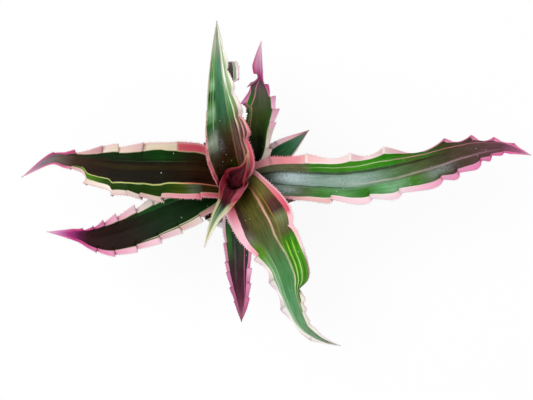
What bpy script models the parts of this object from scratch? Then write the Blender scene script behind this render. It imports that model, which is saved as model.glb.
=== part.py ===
"""Potted earth star (Cryptanthus bivittatus): a flat rosette of ruffled leaves, in a plain pot.

Run with blender --background --python part.py, or from Blender's text editor. Z is up, and the
origin is the middle of the pot's underside. The tables below are in millimetres.
"""

import math

import bmesh
import bpy
import numpy as np

MM = 0.001

# Pot: a plain tapered pot with a rolled rim.
POT_HEIGHT = 60.0
POT_FOOT_RADIUS = 21.5
POT_RIM_RADIUS = 30.5
POT_WALL = 2.8
POT_FLOOR = 4.0
RIM_BAND = 9.0
RIM_STEP = 1.6
POT_SLOPE = (POT_RIM_RADIUS - RIM_STEP - POT_FOOT_RADIUS) / POT_HEIGHT
EDGE_ROUND = 1.2
FLOOR_ROUND = 2.0
BAND_SLANT = 0.8
DRAIN_RADIUS = 1.8
DRAIN_CIRCLE = 12.0
DRAIN_COUNT = 5
DRAIN_SIDES = 14
POT_SIDES = 48
SHARP_ANGLE = 40.0

# Potting mix, filled to just under the rim band, and the short stem that stands in it.
SOIL_TOP = 53.0
SOIL_CROWN = 1.5
SOIL_CROWN_RADIUS = 18.0
STEM_SUNK = 10.0
STEM_TIP_ROUND = 0.7
STEM_RINGS = 5
STEM_TOP = 84.0
STEM_FOOT_RADIUS = 9.5
STEM_TIP_RADIUS = 3.2
STEM_SIDES = 20

# Clearance between touching pieces.
GAP = 0.3

# Leaves: the thickness in the middle, the share of it left at the margins, and the share of the
# length where the tip starts to thin. A leaf turns from hugging the stem to lying across its own
# path over the first BASE_TURN mm, and its clasp opens over OPENS_OVER mm if it names no length.
LEAF_THICKNESS = 1.2
EDGE_SHARE = 0.45
TIP_THINS_FROM = 0.75
TIP_HALF_WIDTH = 0.35
BASE_CLEARANCE = 0.1
BASE_TURN = 16.0
OPENS_OVER = 40.0
RUFFLE_FROM = 0.3
FULL_RUFFLE_HALF = 8.0
STATION_STEP = 4.0
CURVE_SAMPLES = 16
ACROSS = 6

# Each leaf leaves the stem at an azimuth (degrees, anticlockwise from +X) and a height, wraps it
# by clasp degrees each way, and opens to a shallow channel of cup degrees. Its spine's rows are
# x, y, z, the half widths on its left and right, all in mm, and its roll in degrees. Left and
# right are the shares of its length at which that margin's ruffles meet.
LEAVES = {
    "right_leaf": {
        "azimuth": 5, "height": 69, "clasp": 62, "cup": 20, "ruffle": 2.4,
        "spine": [
            (11, 2, 76, 11, 11, 0), (25, 4, 84, 13, 13, 0), (46, 3, 90, 14.4, 14.5, 0),
            (70, 3, 93, 14, 16, 4), (93, 6.6, 92, 15.4, 16.6, 8), (112, 11.5, 90, 12, 16.2, 8),
            (131, 17, 86, 11.6, 15.5, 8), (146, 21, 83, 9.2, 13, 6), (158, 22.5, 80, 6.6, 8.5, 0),
            (170, 22.5, 77, 4.8, 4.5, 0), (188, 18, 70, 0, 0, 0),
        ],
        "left": [0.12, 0.23, 0.37, 0.48, 0.68, 0.77, 0.85, 0.92],
        "right": [0.2, 0.31, 0.42, 0.51, 0.65, 0.73, 0.81, 0.89],
    },
    "left_leaf": {
        "azimuth": 174, "height": 71, "clasp": 62, "cup": 20, "ruffle": 2.6,
        "spine": [
            (-10, 5, 78, 13, 14, 0), (-22, 7, 85, 16.5, 18.4, 0), (-30, 7, 88, 17, 18.4, 0),
            (-40, 7, 90, 19.2, 17.5, 0), (-52, 7.4, 90.7, 20.6, 17.2, 0), (-64, 8, 91, 19, 16.5, 0),
            (-72, 8.7, 90, 16, 15.4, 0), (-83, 10, 88, 14.6, 13.5, 0), (-97, 12.6, 84.6, 6.8, 8.8, 0),
            (-105, 14, 81, 5, 6.5, 0), (-116, 15, 78, 3.4, 3.4, 0), (-137, 4, 68, 0, 0, 0),
        ],
        "left": [0.04, 0.155, 0.31, 0.41, 0.52, 0.62, 0.71],
        "right": [0.12, 0.235, 0.4, 0.49, 0.58, 0.7, 0.8],
    },
    "lower_left_leaf": {
        "azimuth": 206, "height": 65, "clasp": 55, "cup": 18, "ruffle": 2.4,
        "spine": [
            (-11, -6, 70, 8, 10, 0), (-22, -11, 75, 11.4, 13, 0), (-31, -15, 77.4, 14, 13.6, 0),
            (-41, -19, 79, 15, 14, 0),
            (-60, -27, 80, 15.5, 14, 0), (-79, -33, 77, 14, 12, 0), (-89, -34, 75, 9.5, 8.5, 0),
            (-99, -33, 72, 4.5, 5, 0), (-122, -31, 64, 0, 0, 0),
        ],
        "left": [0.2, 0.31, 0.42, 0.53, 0.64, 0.75],
        "right": [0.2, 0.33, 0.45, 0.58, 0.7, 0.81],
    },
    "front_leaf": {
        "azimuth": 298, "height": 75, "clasp": 84, "cup": 24, "ruffle": 2.2, "opens": 26,
        "spine": [
            (5, -8, 83, 19, 14, 0), (10, -16, 90, 21, 15, 0), (17, -27, 95, 20.5, 18.2, 0),
            (20, -33.5, 96.4, 19.6, 17, 0), (23, -40, 97, 18, 13.4, 0),
            (29, -52, 94, 15, 11.4, 0), (34, -68, 88, 8.8, 10, 0),
            (41, -87, 79, 5.7, 6.5, 0), (49, -95.5, 74, 3.8, 4, 0), (57, -100.5, 70, 2, 2, 0),
            (67, -104, 66, 0, 0, 0),
        ],
        "left": [0.03, 0.29, 0.58, 0.78],
        "right": [0.1, 0.355, 0.49, 0.635, 0.84],
    },
    "top_leaf": {
        "azimuth": 97, "height": 78, "clasp": 105, "cup": 30, "ruffle": 2.0,
        "spine": [
            (-1, 10, 91, 17, 13.4, 0), (-4, 20, 107, 15, 15.6, 12), (-6, 33, 123, 11.6, 14.2, 18),
            (-7, 51, 138, 7.2, 9, 18), (-7, 68, 150, 3.6, 4.7, 10), (-7, 85, 157, 0, 0, 0),
        ],
        "left": [],
        "right": [0.04, 0.32, 0.49, 0.63, 0.76, 0.88],
    },
    "young_leaf": {
        "azimuth": 243, "height": 82, "clasp": 98, "cup": 48, "ruffle": 0.0, "opens": 30,
        "spine": [
            (-2.2, -5.2, 91, 11, 11, 0), (-5.2, -13, 104, 6, 6, 0), (-9.5, -20.5, 118, 3.3, 3.3, 0),
            (-12.6, -28.4, 127, 1.7, 1.7, 0), (-15.3, -37, 134, 0, 0, 0),
        ],
        "left": [],
        "right": [],
    },
    "upper_right_leaf": {
        "azimuth": 55, "height": 65.5, "clasp": 45, "cup": 22, "ruffle": 2.4,
        "spine": [
            (9, 12, 74, 7.5, 8.5, 0), (13, 20, 81, 7.8, 10, 0), (14, 33, 86, 8, 11, 0),
            (15, 46, 89, 12, 13.5, 0), (15.5, 55, 90, 11, 9, 0), (15.5, 62, 92, 4.5, 2.6, 30),
            (16, 69, 94, 5.8, 1.2, 10), (16, 77, 97, 3.2, 0.7, 0), (16.3, 85, 100, 0, 0, 0),
        ],
        "left": [0.3, 0.45, 0.585, 0.72],
        "right": [0.285, 0.43, 0.57, 0.71],
    },
    "rear_leaf": {
        "azimuth": 112, "height": 62, "clasp": 40, "cup": 16, "ruffle": 1.8,
        "spine": [
            (-4, 14, 70, 7.5, 7.5, 0), (-5, 25, 77, 9, 8, 0), (-5, 42, 84, 9.5, 5.5, 0),
            (-6, 57, 85, 9, 4.6, 0), (-6.4, 61, 84.3, 8.9, 4.8, 0), (-6.5, 62.8, 83.6, 8.8, 9.6, 0),
            (-7, 69, 80, 8.5, 10, 0), (-7, 76, 71, 6.5, 8, 0),
            (-7, 79, 60, 0, 0, 0),
        ],
        "left": [0.3, 0.5, 0.7],
        "right": [0.3, 0.5, 0.7],
    },
    "short_right_leaf": {
        "azimuth": 30, "height": 61, "clasp": 38, "cup": 26, "ruffle": 0.0,
        "spine": [
            (12, 8, 66, 7.5, 7.5, 0), (20, 14, 71, 9, 8.5, 0), (32, 22, 76, 7.3, 6.5, 0),
            (46, 33, 81, 0, 0, 0),
        ],
        "left": [],
        "right": [],
    },
    "short_front_leaf": {
        "azimuth": 270, "height": 62, "clasp": 50, "cup": 22, "ruffle": 1.4,
        "spine": [
            (0, -13, 66, 7, 7, 0), (0, -22, 70, 8, 8.6, 0), (2, -39, 73, 8.6, 10, 0),
            (2, -58, 72, 8.6, 8.2, 0), (3, -74, 69, 6, 4.8, 0), (3.4, -89, 64, 0, 0, 0),
        ],
        "left": [0.25, 0.42, 0.57, 0.72],
        "right": [0.22, 0.38, 0.54, 0.7],
    },
}

# Last year's short leaves, dried dark and lying under the others.
OLD_LEAVES = {
    "old_leaf_1": {"azimuth": 126, "spine": [
        (-9, 10, 60, 4.5, 4.5, 0), (-13, 17, 62, 4.5, 4.5, 0), (-18, 23, 62, 2.5, 2.5, 0),
        (-21, 26.5, 61.5, 0, 0, 0)]},
    "old_leaf_2": {"azimuth": 212, "spine": [
        (-9.5, -8, 59.5, 3.5, 3.5, 0), (-13.5, -13.5, 60.8, 4, 4, 0), (-17, -19, 62, 3, 3, 0),
        (-20, -23.3, 62, 0, 0, 0)]},
    "old_leaf_3": {"azimuth": 340, "spine": [
        (11, -4, 60, 5, 5, 0), (20, -7, 62, 5, 5, 0), (29, -10.5, 63, 3, 3, 0),
        (38, -11, 61.5, 0, 0, 0)]},
    "old_leaf_4": {"azimuth": 252, "spine": [
        (-5.5, -10, 61, 3, 3, 0), (-8, -15.5, 63.2, 3.6, 3.6, 0), (-11.5, -21.5, 63.8, 2.6, 2.6, 0),
        (-15.2, -27.5, 62.5, 0, 0, 0)]},
}
OLD_LEAF = {"height": 57, "clasp": 15, "cup": 20, "ruffle": 0.0, "left": [], "right": []}
OLD_STATION_STEP = 4.0
OLD_ACROSS = 4

# The unopened leaf at the heart: a pointed roll that stands on the stem's tip and leans out over
# the top leaf. Its rows are x, y, z and the radius.
BUD_SPINE = [
    (0, 0, 84.8, 2.0), (0.5, 0.9, 88.5, 2.8), (2.4, 3.8, 94, 2.8), (4.8, 7.8, 100.5, 2.0),
    (6.8, 12.2, 106, 1.1), (8.9, 18.2, 112, 0.25),
]
BUD_SIDES = 12
BUD_RINGS_PER_SPAN = 2

# Colour (linear red, green, blue) and roughness.
LOOKS = {
    "pot": ((0.86, 0.86, 0.84), 0.3),
    "soil": ((0.035, 0.022, 0.014), 0.95),
    "stem": ((0.10, 0.06, 0.035), 0.8),
    "bud_leaf": ((0.06, 0.006, 0.012), 0.45),
    "young_leaf": ((0.09, 0.02, 0.03), 0.4),
    "top_leaf": ((0.07, 0.10, 0.04), 0.4),
    "front_leaf": ((0.12, 0.17, 0.06), 0.4),
    "right_leaf": ((0.11, 0.15, 0.08), 0.4),
    "left_leaf": ((0.03, 0.06, 0.02), 0.4),
    "lower_left_leaf": ((0.03, 0.04, 0.02), 0.4),
    "upper_right_leaf": ((0.03, 0.05, 0.02), 0.4),
    "rear_leaf": ((0.04, 0.04, 0.02), 0.4),
    "short_right_leaf": ((0.02, 0.07, 0.03), 0.4),
    "short_front_leaf": ((0.06, 0.04, 0.04), 0.4),
    "old_leaf": ((0.03, 0.006, 0.008), 0.6),
}


def clear_scene():
    for item in list(bpy.data.objects):
        bpy.data.objects.remove(item, do_unlink=True)


def make_material(name):
    color, roughness = LOOKS[name]
    material = bpy.data.materials.new(name)
    material.use_nodes = True
    shader = material.node_tree.nodes["Principled BSDF"]
    shader.inputs["Base Color"].default_value = (*color, 1.0)
    shader.inputs["Roughness"].default_value = roughness
    shader.inputs["Metallic"].default_value = 0.0
    material.diffuse_color = (*color, 1.0)
    return material


def add_object(name, bm, look):
    bmesh.ops.recalc_face_normals(bm, faces=bm.faces)
    mesh = bpy.data.meshes.new(name)
    bm.to_mesh(mesh)
    bm.free()
    mesh.shade_smooth()
    mesh.set_sharp_from_angle(angle=math.radians(SHARP_ANGLE))
    item = bpy.data.objects.new(name, mesh)
    item.data.materials.append(make_material(look))
    bpy.context.scene.collection.objects.link(item)
    return item


def turned(name, profile, sides, look):
    """A solid of revolution: profile is (radius, height) in mm, from the axis round to the axis."""
    bm = bmesh.new()
    verts = [bm.verts.new((radius * MM, 0, height * MM)) for radius, height in profile]
    edges = [bm.edges.new(pair) for pair in zip(verts, verts[1:])]
    bmesh.ops.spin(
        bm,
        geom=verts + edges,
        cent=(0, 0, 0),
        axis=(0, 0, 1),
        angle=math.tau,
        steps=sides,
        use_merge=True,
    )
    bmesh.ops.remove_doubles(bm, verts=bm.verts, dist=1e-6)
    return add_object(name, bm, look)


def drill(item, places, radius, low, high):
    """Cuts upright round holes through item."""
    bm = bmesh.new()
    for x, y in places:
        ends = bmesh.ops.create_cone(
            bm,
            cap_ends=True,
            segments=DRAIN_SIDES,
            radius1=radius * MM,
            radius2=radius * MM,
            depth=(high - low) * MM,
        )
        bmesh.ops.translate(bm, verts=ends["verts"], vec=(x * MM, y * MM, (high + low) / 2 * MM))
    cutter = add_object(item.name + "_cutter", bm, "pot")
    cutter.hide_render = True
    cutter.display_type = "WIRE"
    cut = item.modifiers.new("holes", "BOOLEAN")
    cut.object = cutter
    cut.operation = "DIFFERENCE"
    cut.solver = "EXACT"


def make_pot():
    band = POT_HEIGHT - RIM_BAND
    inner_top = POT_RIM_RADIUS - RIM_STEP - POT_WALL
    profile = [
        (0, 0),
        (POT_FOOT_RADIUS - EDGE_ROUND, 0),
        (POT_FOOT_RADIUS, EDGE_ROUND),
        (POT_FOOT_RADIUS + POT_SLOPE * band, band),
        (POT_RIM_RADIUS, band + BAND_SLANT),
        (POT_RIM_RADIUS, POT_HEIGHT - EDGE_ROUND),
        (POT_RIM_RADIUS - EDGE_ROUND, POT_HEIGHT),
        (inner_top + EDGE_ROUND, POT_HEIGHT),
        (inner_top, POT_HEIGHT - EDGE_ROUND),
        (inner_radius(POT_FLOOR + FLOOR_ROUND), POT_FLOOR + FLOOR_ROUND),
        (inner_radius(POT_FLOOR) - FLOOR_ROUND, POT_FLOOR),
        (0, POT_FLOOR),
    ]
    pot = turned("pot", profile, POT_SIDES, "pot")
    turns = [math.tau * i / DRAIN_COUNT for i in range(DRAIN_COUNT)]
    places = [(DRAIN_CIRCLE * math.cos(a), DRAIN_CIRCLE * math.sin(a)) for a in turns]
    drill(pot, places, DRAIN_RADIUS, -POT_FLOOR / 2, POT_FLOOR * 1.5)


def inner_radius(height):
    """The pot's inner radius at a height."""
    top = POT_RIM_RADIUS - RIM_STEP - POT_WALL
    return top - POT_SLOPE * (POT_HEIGHT - EDGE_ROUND - height)


def stem_radius(height):
    """The stem tapers evenly from its foot, in the soil, to its tip."""
    share = (height - (SOIL_TOP - STEM_SUNK)) / (STEM_TOP - SOIL_TOP + STEM_SUNK)
    return STEM_FOOT_RADIUS + share * (STEM_TIP_RADIUS - STEM_FOOT_RADIUS)


def make_soil():
    foot = SOIL_TOP - STEM_SUNK
    low = POT_FLOOR + GAP
    profile = [
        (0, foot - GAP),
        (stem_radius(foot) + GAP, foot - GAP),
        (stem_radius(SOIL_TOP) + GAP, SOIL_TOP + SOIL_CROWN),
        (SOIL_CROWN_RADIUS, SOIL_TOP + 0.6 * SOIL_CROWN),
        (inner_radius(SOIL_TOP) - GAP, SOIL_TOP),
        (inner_radius(low + FLOOR_ROUND) - GAP, low + FLOOR_ROUND),
        (inner_radius(low) - GAP - FLOOR_ROUND, low),
        (0, low),
    ]
    turned("soil", profile, POT_SIDES, "soil")


def make_stem():
    foot = SOIL_TOP - STEM_SUNK
    profile = [(0, foot)]
    for height in np.linspace(foot, STEM_TOP - STEM_TIP_ROUND, STEM_RINGS):
        profile.append((stem_radius(height), height))
    profile.append((STEM_TIP_RADIUS - STEM_TIP_ROUND, STEM_TOP))
    profile.append((0, STEM_TOP))
    turned("stem", profile, STEM_SIDES, "stem")


def make_bud():
    """Rings square to the roll's path, which close to a point."""
    rows = curve_through(BUD_SPINE, BUD_RINGS_PER_SPAN)
    tangents = np.gradient(rows[:, :3], axis=0)
    bm = bmesh.new()
    rings = []
    for row, tangent in zip(rows, tangents):
        side = np.cross((0, 1, 0), tangent)
        side = side / np.linalg.norm(side)
        ahead = np.cross(tangent, side)
        ahead = ahead / np.linalg.norm(ahead)
        ring = []
        for i in range(BUD_SIDES):
            turn = math.tau * i / BUD_SIDES
            place = row[:3] + row[3] * (side * math.cos(turn) + ahead * math.sin(turn))
            ring.append(bm.verts.new(place * MM))
        rings.append(ring)
    for low, high in zip(rings, rings[1:]):
        for i in range(BUD_SIDES):
            k = (i + 1) % BUD_SIDES
            bm.faces.new((low[i], low[k], high[k], high[i]))
    bm.faces.new(rings[0][::-1])
    bm.faces.new(rings[-1])
    add_object("bud_leaf", bm, "bud_leaf")


def ease(share):
    share = min(max(share, 0.0), 1.0)
    return share * share * (3 - 2 * share)


def curve_through(rows, per_span):
    """A Catmull-Rom curve through the rows, sampled closely. Every column is carried along."""
    rows = np.array(rows, dtype=float)
    ends = np.vstack([2 * rows[0] - rows[1], rows, 2 * rows[-1] - rows[-2]])
    samples = []
    for i in range(1, len(ends) - 2):
        a, b, c, d = ends[i - 1 : i + 3]
        for t in np.linspace(0, 1, per_span, endpoint=False):
            squared = (2 * a - 5 * b + 4 * c - d) * t**2
            cubed = (3 * b - a - 3 * c + d) * t**3
            samples.append(0.5 * (2 * b + (c - a) * t + squared + cubed))
    samples.append(rows[-1])
    return np.array(samples)


def even_steps(samples, step):
    """The curve's rows at even distances, with each one's distance from the start."""
    reach = np.concatenate([[0], np.cumsum(np.linalg.norm(np.diff(samples[:, :3], axis=0), axis=1))])
    count = max(4, round(reach[-1] / step))
    marks = np.linspace(0, reach[-1], count + 1)
    return np.column_stack([np.interp(marks, reach, column) for column in samples.T]), marks


def ripple(share, folds):
    """The margin's wave, -1 to 1: one turn from fold to fold, still at the base and near the tip."""
    if len(folds) < 2 or share <= folds[0] or share >= folds[-1]:
        return 0.0
    k = int(np.searchsorted(folds, share, side="right")) - 1
    part = (share - folds[k]) / (folds[k + 1] - folds[k])
    return math.sin(math.tau * part)


def leaf_points(leaf, step, across):
    """The leaf's middle surface in mm: a row of points across it at each station from base to tip."""
    azimuth = math.radians(leaf["azimuth"])
    clasp = math.radians(leaf["clasp"])
    cup = math.radians(leaf["cup"])
    outward = np.array((math.cos(azimuth), math.sin(azimuth), 0.0))
    radius = stem_radius(leaf["height"]) + GAP + LEAF_THICKNESS / 2 + BASE_CLEARANCE
    hold = radius * clasp
    base = [*(radius * outward + np.array((0, 0, leaf["height"]))), hold, hold, 0.0]
    rows, marks = even_steps(curve_through([base, *leaf["spine"]], CURVE_SAMPLES), step)
    rows[:, 3:5] = np.maximum(rows[:, 3:5], TIP_HALF_WIDTH)
    path = rows[:, :3]
    tangents = np.gradient(path, marks, axis=0)
    grid = []
    for row, tangent, mark in zip(rows, tangents, marks):
        share = mark / marks[-1]
        tangent = tangent / np.linalg.norm(tangent)
        flat = np.array((tangent[0], tangent[1], 0.0))
        open_out = ease(mark / BASE_TURN)
        heading = outward * (1 - open_out) + flat / max(np.linalg.norm(flat), 1e-6) * open_out
        heading = heading / np.linalg.norm(heading)
        left = np.cross((0, 0, 1), heading)
        rise = np.cross(tangent, left) * open_out - outward * (1 - open_out)
        rise = rise / np.linalg.norm(rise)
        roll = math.radians(row[5])
        left, rise = (
            left * math.cos(roll) + rise * math.sin(roll),
            rise * math.cos(roll) - left * math.sin(roll),
        )
        bend = cup + (clasp - cup) * (1 - ease(mark / leaf.get("opens", OPENS_OVER)))
        line = []
        for v in np.linspace(-1, 1, across + 1):
            half = row[3] if v > 0 else row[4]
            folds = leaf["left"] if v > 0 else leaf["right"]
            reach = max(0.0, (abs(v) - RUFFLE_FROM) / (1 - RUFFLE_FROM))
            wave = leaf["ruffle"] * ripple(share, folds) * reach * min(1.0, half / FULL_RUFFLE_HALF)
            arm = half / bend
            point = row[:3] + left * arm * math.sin(v * bend)
            point = point + rise * (arm * (1 - math.cos(v * bend)) + wave)
            line.append(point)
        grid.append(line)
    return grid


def make_leaf(name, leaf, look, step, across):
    """A sheet through the leaf's points, thickened both ways and thinner along its margins and tip."""
    grid = leaf_points(leaf, step, across)
    bm = bmesh.new()
    verts = [[bm.verts.new(point * MM) for point in line] for line in grid]
    for low, high in zip(verts, verts[1:]):
        for i in range(across):
            bm.faces.new((low[i + 1], low[i], high[i], high[i + 1]))
    item = add_object(name, bm, look)
    thin = item.vertex_groups.new(name="thickness")
    last = len(grid) - 1
    for i in range(len(grid)):
        for k in range(across + 1):
            edge = abs(2 * k / across - 1)
            tip = ease((i / last - TIP_THINS_FROM) / (1 - TIP_THINS_FROM))
            weight = 1 - (1 - EDGE_SHARE) * max(edge**2, tip)
            thin.add([i * (across + 1) + k], weight, "REPLACE")
    solid = item.modifiers.new("thickness", "SOLIDIFY")
    solid.thickness = LEAF_THICKNESS * MM
    solid.offset = 0.0
    solid.vertex_group = "thickness"
    return item


def main():
    clear_scene()
    make_pot()
    make_soil()
    make_stem()
    make_bud()
    for name, leaf in LEAVES.items():
        make_leaf(name, leaf, name, STATION_STEP, ACROSS)
    for name, leaf in OLD_LEAVES.items():
        leaf = {**OLD_LEAF, **leaf}
        make_leaf(name, leaf, "old_leaf", OLD_STATION_STEP, OLD_ACROSS)


main()
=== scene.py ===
"""The looks of the potted earth star: fine ruffled leaves, potting mix and pot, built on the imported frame.

Lengths in the tables are in millimetres, and the model is in metres, in the frame's own axes: Z is up,
and the origin is the middle of the pot's underside.
"""

import math

import bmesh
import bpy
import mathutils
import numpy as np
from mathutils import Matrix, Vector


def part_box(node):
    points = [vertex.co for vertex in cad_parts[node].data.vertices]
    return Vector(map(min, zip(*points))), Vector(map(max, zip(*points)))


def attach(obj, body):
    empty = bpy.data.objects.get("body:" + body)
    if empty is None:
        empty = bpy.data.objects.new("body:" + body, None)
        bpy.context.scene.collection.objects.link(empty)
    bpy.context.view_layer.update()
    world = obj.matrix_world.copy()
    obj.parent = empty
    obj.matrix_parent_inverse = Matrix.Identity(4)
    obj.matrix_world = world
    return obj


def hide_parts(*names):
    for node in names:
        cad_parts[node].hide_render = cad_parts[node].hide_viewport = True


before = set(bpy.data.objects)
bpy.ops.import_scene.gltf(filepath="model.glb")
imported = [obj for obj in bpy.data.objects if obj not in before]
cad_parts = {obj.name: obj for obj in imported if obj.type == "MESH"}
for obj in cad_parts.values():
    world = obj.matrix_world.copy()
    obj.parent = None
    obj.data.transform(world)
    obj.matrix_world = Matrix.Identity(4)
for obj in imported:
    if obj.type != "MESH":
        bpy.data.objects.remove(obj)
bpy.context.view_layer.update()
MM = 0.001

# The stem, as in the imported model, and how far from its surface the leaves' middle surfaces begin.
STEM_FOOT = 43.0
STEM_TOP = 84.0
STEM_FOOT_RADIUS = 9.5
STEM_TIP_RADIUS = 3.2
BASE_CLEARANCE = 1.0

# The heart on the stem: from where to where it reaches, how wide it is at its foot, how far it swells above
# that, and how far its tip leans in x and y.
HEART_FOOT = 83.5
HEART_TOP = 100.0
HEART_RADIUS = 3.4
HEART_SWELL = 2.0
HEART_LEAN = (5.0, 7.0)

# Leaf sheets: their thickness in the middle and at the margins, and the depth of the rib's groove. A leaf
# leaves the stem upright, turns outward over TURN_OUT and opens over OPENS. Its ruffles grow from
# RUFFLE_FROM of its half width, and meet in creases that are about CREASE_HALF wide each way.
THICKNESS = 1.1
MARGIN_THICKNESS = 0.45
RIB_DEPTH = 0.35
TURN_OUT = 16.0
OPENS = 40.0
RUFFLE_FROM = 0.42
CREASE_HALF = 0.8

# How closely the sheets are sampled, in mm along a leaf and in columns across it, how far a ruffle's
# corners are smoothed, and how far apart the spines stand. A blade's markings are scaled as if it were
# BLADE_HALF wide each way.
FINE_STEP = 0.1
SMOOTH_HALF = 0.6
STATION_STEP = 0.8
SPINE_STEP = 1.5
COLUMNS = 41
BLADE_HALF = 14.0
SIDES = {"left": 1, "right": -1}
LEAF_SEED = 40
OLD_LEAF_SEED = 70
SOIL_SEED = 91

# Where the parts of a leaf go on its map OFBake: the floor and the height of each one's strip.
MAP = {"upper": (0.005, 0.43), "under": (0.45, 0.42), "rim": (0.88, 0.015), "spines": (0.905, 0.09)}

# Pot and potting mix. Grains of a tone above BARK_TONE are chips of bark.
POT_FOOT_RADIUS = 21.5
POT_SLOPE = 0.1233
POT_RIM_STEP = 1.6
POT_WALL = 2.8
POT_FLOOR = 4.0
POT_BAND = 9.0
DRAIN_RADIUS = 1.8
DRAIN_CIRCLE = 12.0
DRAIN_COUNT = 5
BED_DROP = 1.6
GRAIN_COUNT = 420
BARK_TONE = 0.88

# Camera, floor and light, in metres and watts. A lamp has a name, a place, a size and a power.
PLANT_MIDDLE = (0.02, 0.0, 0.08)
CAMERA_PLACE = (0.01953, -0.01054, 0.604)
CAMERA_LENS = 56.65
FLOOR_HALF = 3.0
FLOOR_GLOW = 0.88
FLOOR_TONE = 0.95
SKY_LIGHT = 0.46
LAMPS = [("key", (-0.4, 0.2, 1.0), 0.7, 7.2), ("fill", (0.6, -0.25, 0.8), 0.8, 2.0)]

# Each leaf leaves the stem at an azimuth and a height, clasps it by so many degrees each way and opens to
# a shallow channel of cup degrees, over its own opens where it has one. Spine rows are x, y, z, the half
# widths left and right of it, and the roll in degrees. A side's ruffles meet at its folds, in hundredths
# of the leaf's length. Tall is how high they stand, deep is how far the margin pulls in, and sizes scales
# them one by one. Their kinds are in fold_shape.
STILL = dict(kind="cusp", tall=0, deep=0, folds=[])
LEAVES = {}
LEAVES["right_leaf"] = dict(
    azimuth=5, height=69, clasp=62, cup=20,
    spine=[
        (11, 2, 76, 11, 11, 0), (25, 4, 84, 13, 13, 0), (46, 3, 90, 14.8, 14.5, 0),
        (70, 3, 93, 15.2, 16.6, 4), (93, 6.6, 92, 16.4, 17.6, 8), (112, 11.5, 90, 12.4, 17.4, 8),
        (131, 17, 86, 11.6, 16.4, 8), (146, 21, 83, 9.2, 13.6, 6), (158, 22.5, 80, 6.6, 8.8, 0),
        (170, 22.5, 77, 4.8, 4.5, 0), (188, 18, 70, 0, 0, 0),
    ],
    left=dict(
        kind="cusp", tall=2.6, deep=4.4, folds=[12, 23, 37, 48, 68, 77, 85, 92],
        sizes=[0.2, 0.3, 0.7, 0.95, 1.25, 0.9, 0.9, 0.8, 0.6],
    ),
    right=dict(
        kind="curl", tall=2.8, deep=3.6, folds=[31, 42, 51, 65, 71, 80, 84, 89],
        sizes=[0.8, 0.9, 1, 1.1, 1.1, 1.1, 0.9, 0.8, 0.6],
    ),
)
LEAVES["left_leaf"] = dict(
    azimuth=174, height=71, clasp=62, cup=20,
    spine=[
        (-10, 5, 78, 16.2, 14, 0), (-22, 7, 85, 18.2, 18.4, 0), (-30, 7, 88, 18.6, 18.6, 0),
        (-40, 7, 90, 18.8, 18, 0), (-46, 7.2, 90.4, 20.2, 18, 0), (-52, 7.4, 90.7, 19.6, 17.8, 0),
        (-59.5, 7.7, 90.9, 18.3, 17, 0), (-68, 8.3, 90.6, 16.8, 16, 0), (-74.4, 9, 89.7, 17.4, 15.2, 0),
        (-76.6, 9.2, 89.3, 14.6, 14.8, 0), (-83, 10, 88, 14.2, 13.5, 0), (-89, 11.1, 86.6, 13.6, 11.4, 0),
        (-92.5, 11.8, 85.8, 7.2, 10, 0), (-97, 12.6, 84.6, 5.8, 8.8, 0), (-105, 14, 81, 5, 6.5, 0),
        (-116, 15, 78, 3.4, 3.4, 0), (-137, 4, 68, 0, 0, 0),
    ],
    left=dict(
        kind=[*["tuck"] * 5, "lap_on", *["tuck"] * 3], tall=2.6, deep=2.6,
        folds=[4, 15.5, 31, 39.7, 45.1, 51.1, 62.5, 71],
        sizes=[0.3, 0.5, 1.1, 1.2, 0.9, 0.5, 0.9, 0.8, 0.5],
    ),
    right=dict(
        kind=["lap_back", "lap_on", *["lap_back"] * 6], tall=2.6, deep=2.4,
        folds=[12, 25.4, 40.4, 50.6, 58.3, 70.4, 80], sizes=[0.3, 0.6, 0.35, 1.15, 0.5, 1.2, 0.9, 0.6],
    ),
)
LEAVES["lower_left_leaf"] = dict(
    azimuth=206, height=65, clasp=55, cup=18,
    spine=[
        (-11, -6, 70, 8, 10, 0), (-22, -11, 75, 11.4, 13, 0), (-31, -15, 77.4, 14, 13.6, 0),
        (-41, -19, 79, 15, 14, 0), (-60, -27, 80, 15.5, 14, 0), (-79, -33, 77, 14, 12, 0),
        (-89, -34, 75, 9.5, 8.5, 0), (-99, -33, 72, 4.5, 5, 0), (-122, -31, 64, 0, 0, 0),
    ],
    left=dict(kind="lap_back", tall=2.4, deep=2.2, folds=[20, 31, 42, 53, 64, 71]),
    right=dict(kind="lap_back", tall=3, deep=3.2, folds=[24, 38.5, 47.5, 58, 66, 73, 79]),
)
LEAVES["front_leaf"] = dict(
    azimuth=298, height=75, clasp=85, cup=24, opens=26,
    spine=[
        (5, -8, 83, 21, 14, 0), (10, -16, 90, 22, 16.6, 0), (17, -27, 95, 21, 18.6, 0),
        (20, -33.5, 96.4, 19.6, 17, 0), (23, -40, 97, 18.6, 13.4, 0), (29, -52, 94, 16.4, 11.4, 0),
        (31.7, -60, 91.5, 14.6, 10.7, 0), (34, -68, 88, 9.4, 10, 0), (41, -87, 79, 5.7, 6.5, 0),
        (49, -95.5, 74, 3.8, 4, 0), (57, -100.5, 70, 2, 2, 0), (67, -104, 66, 0, 0, 0),
    ],
    left=dict(
        kind=["curl", "curl", "drape", *["curl"] * 4], tall=2.4, deep=4.2, folds=[3, 29, 58, 65, 70, 78],
        sizes=[1, 1.2, 1, 0.6, 0.5, 0.5, 0.4],
    ),
    right=dict(
        kind=["cusp", "lap_back", *["cusp"] * 4], tall=2.2, deep=3, folds=[10, 35.5, 49, 63.5, 84],
        sizes=[0.3, 1, 1, 1, 1, 1],
    ),
)
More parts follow.
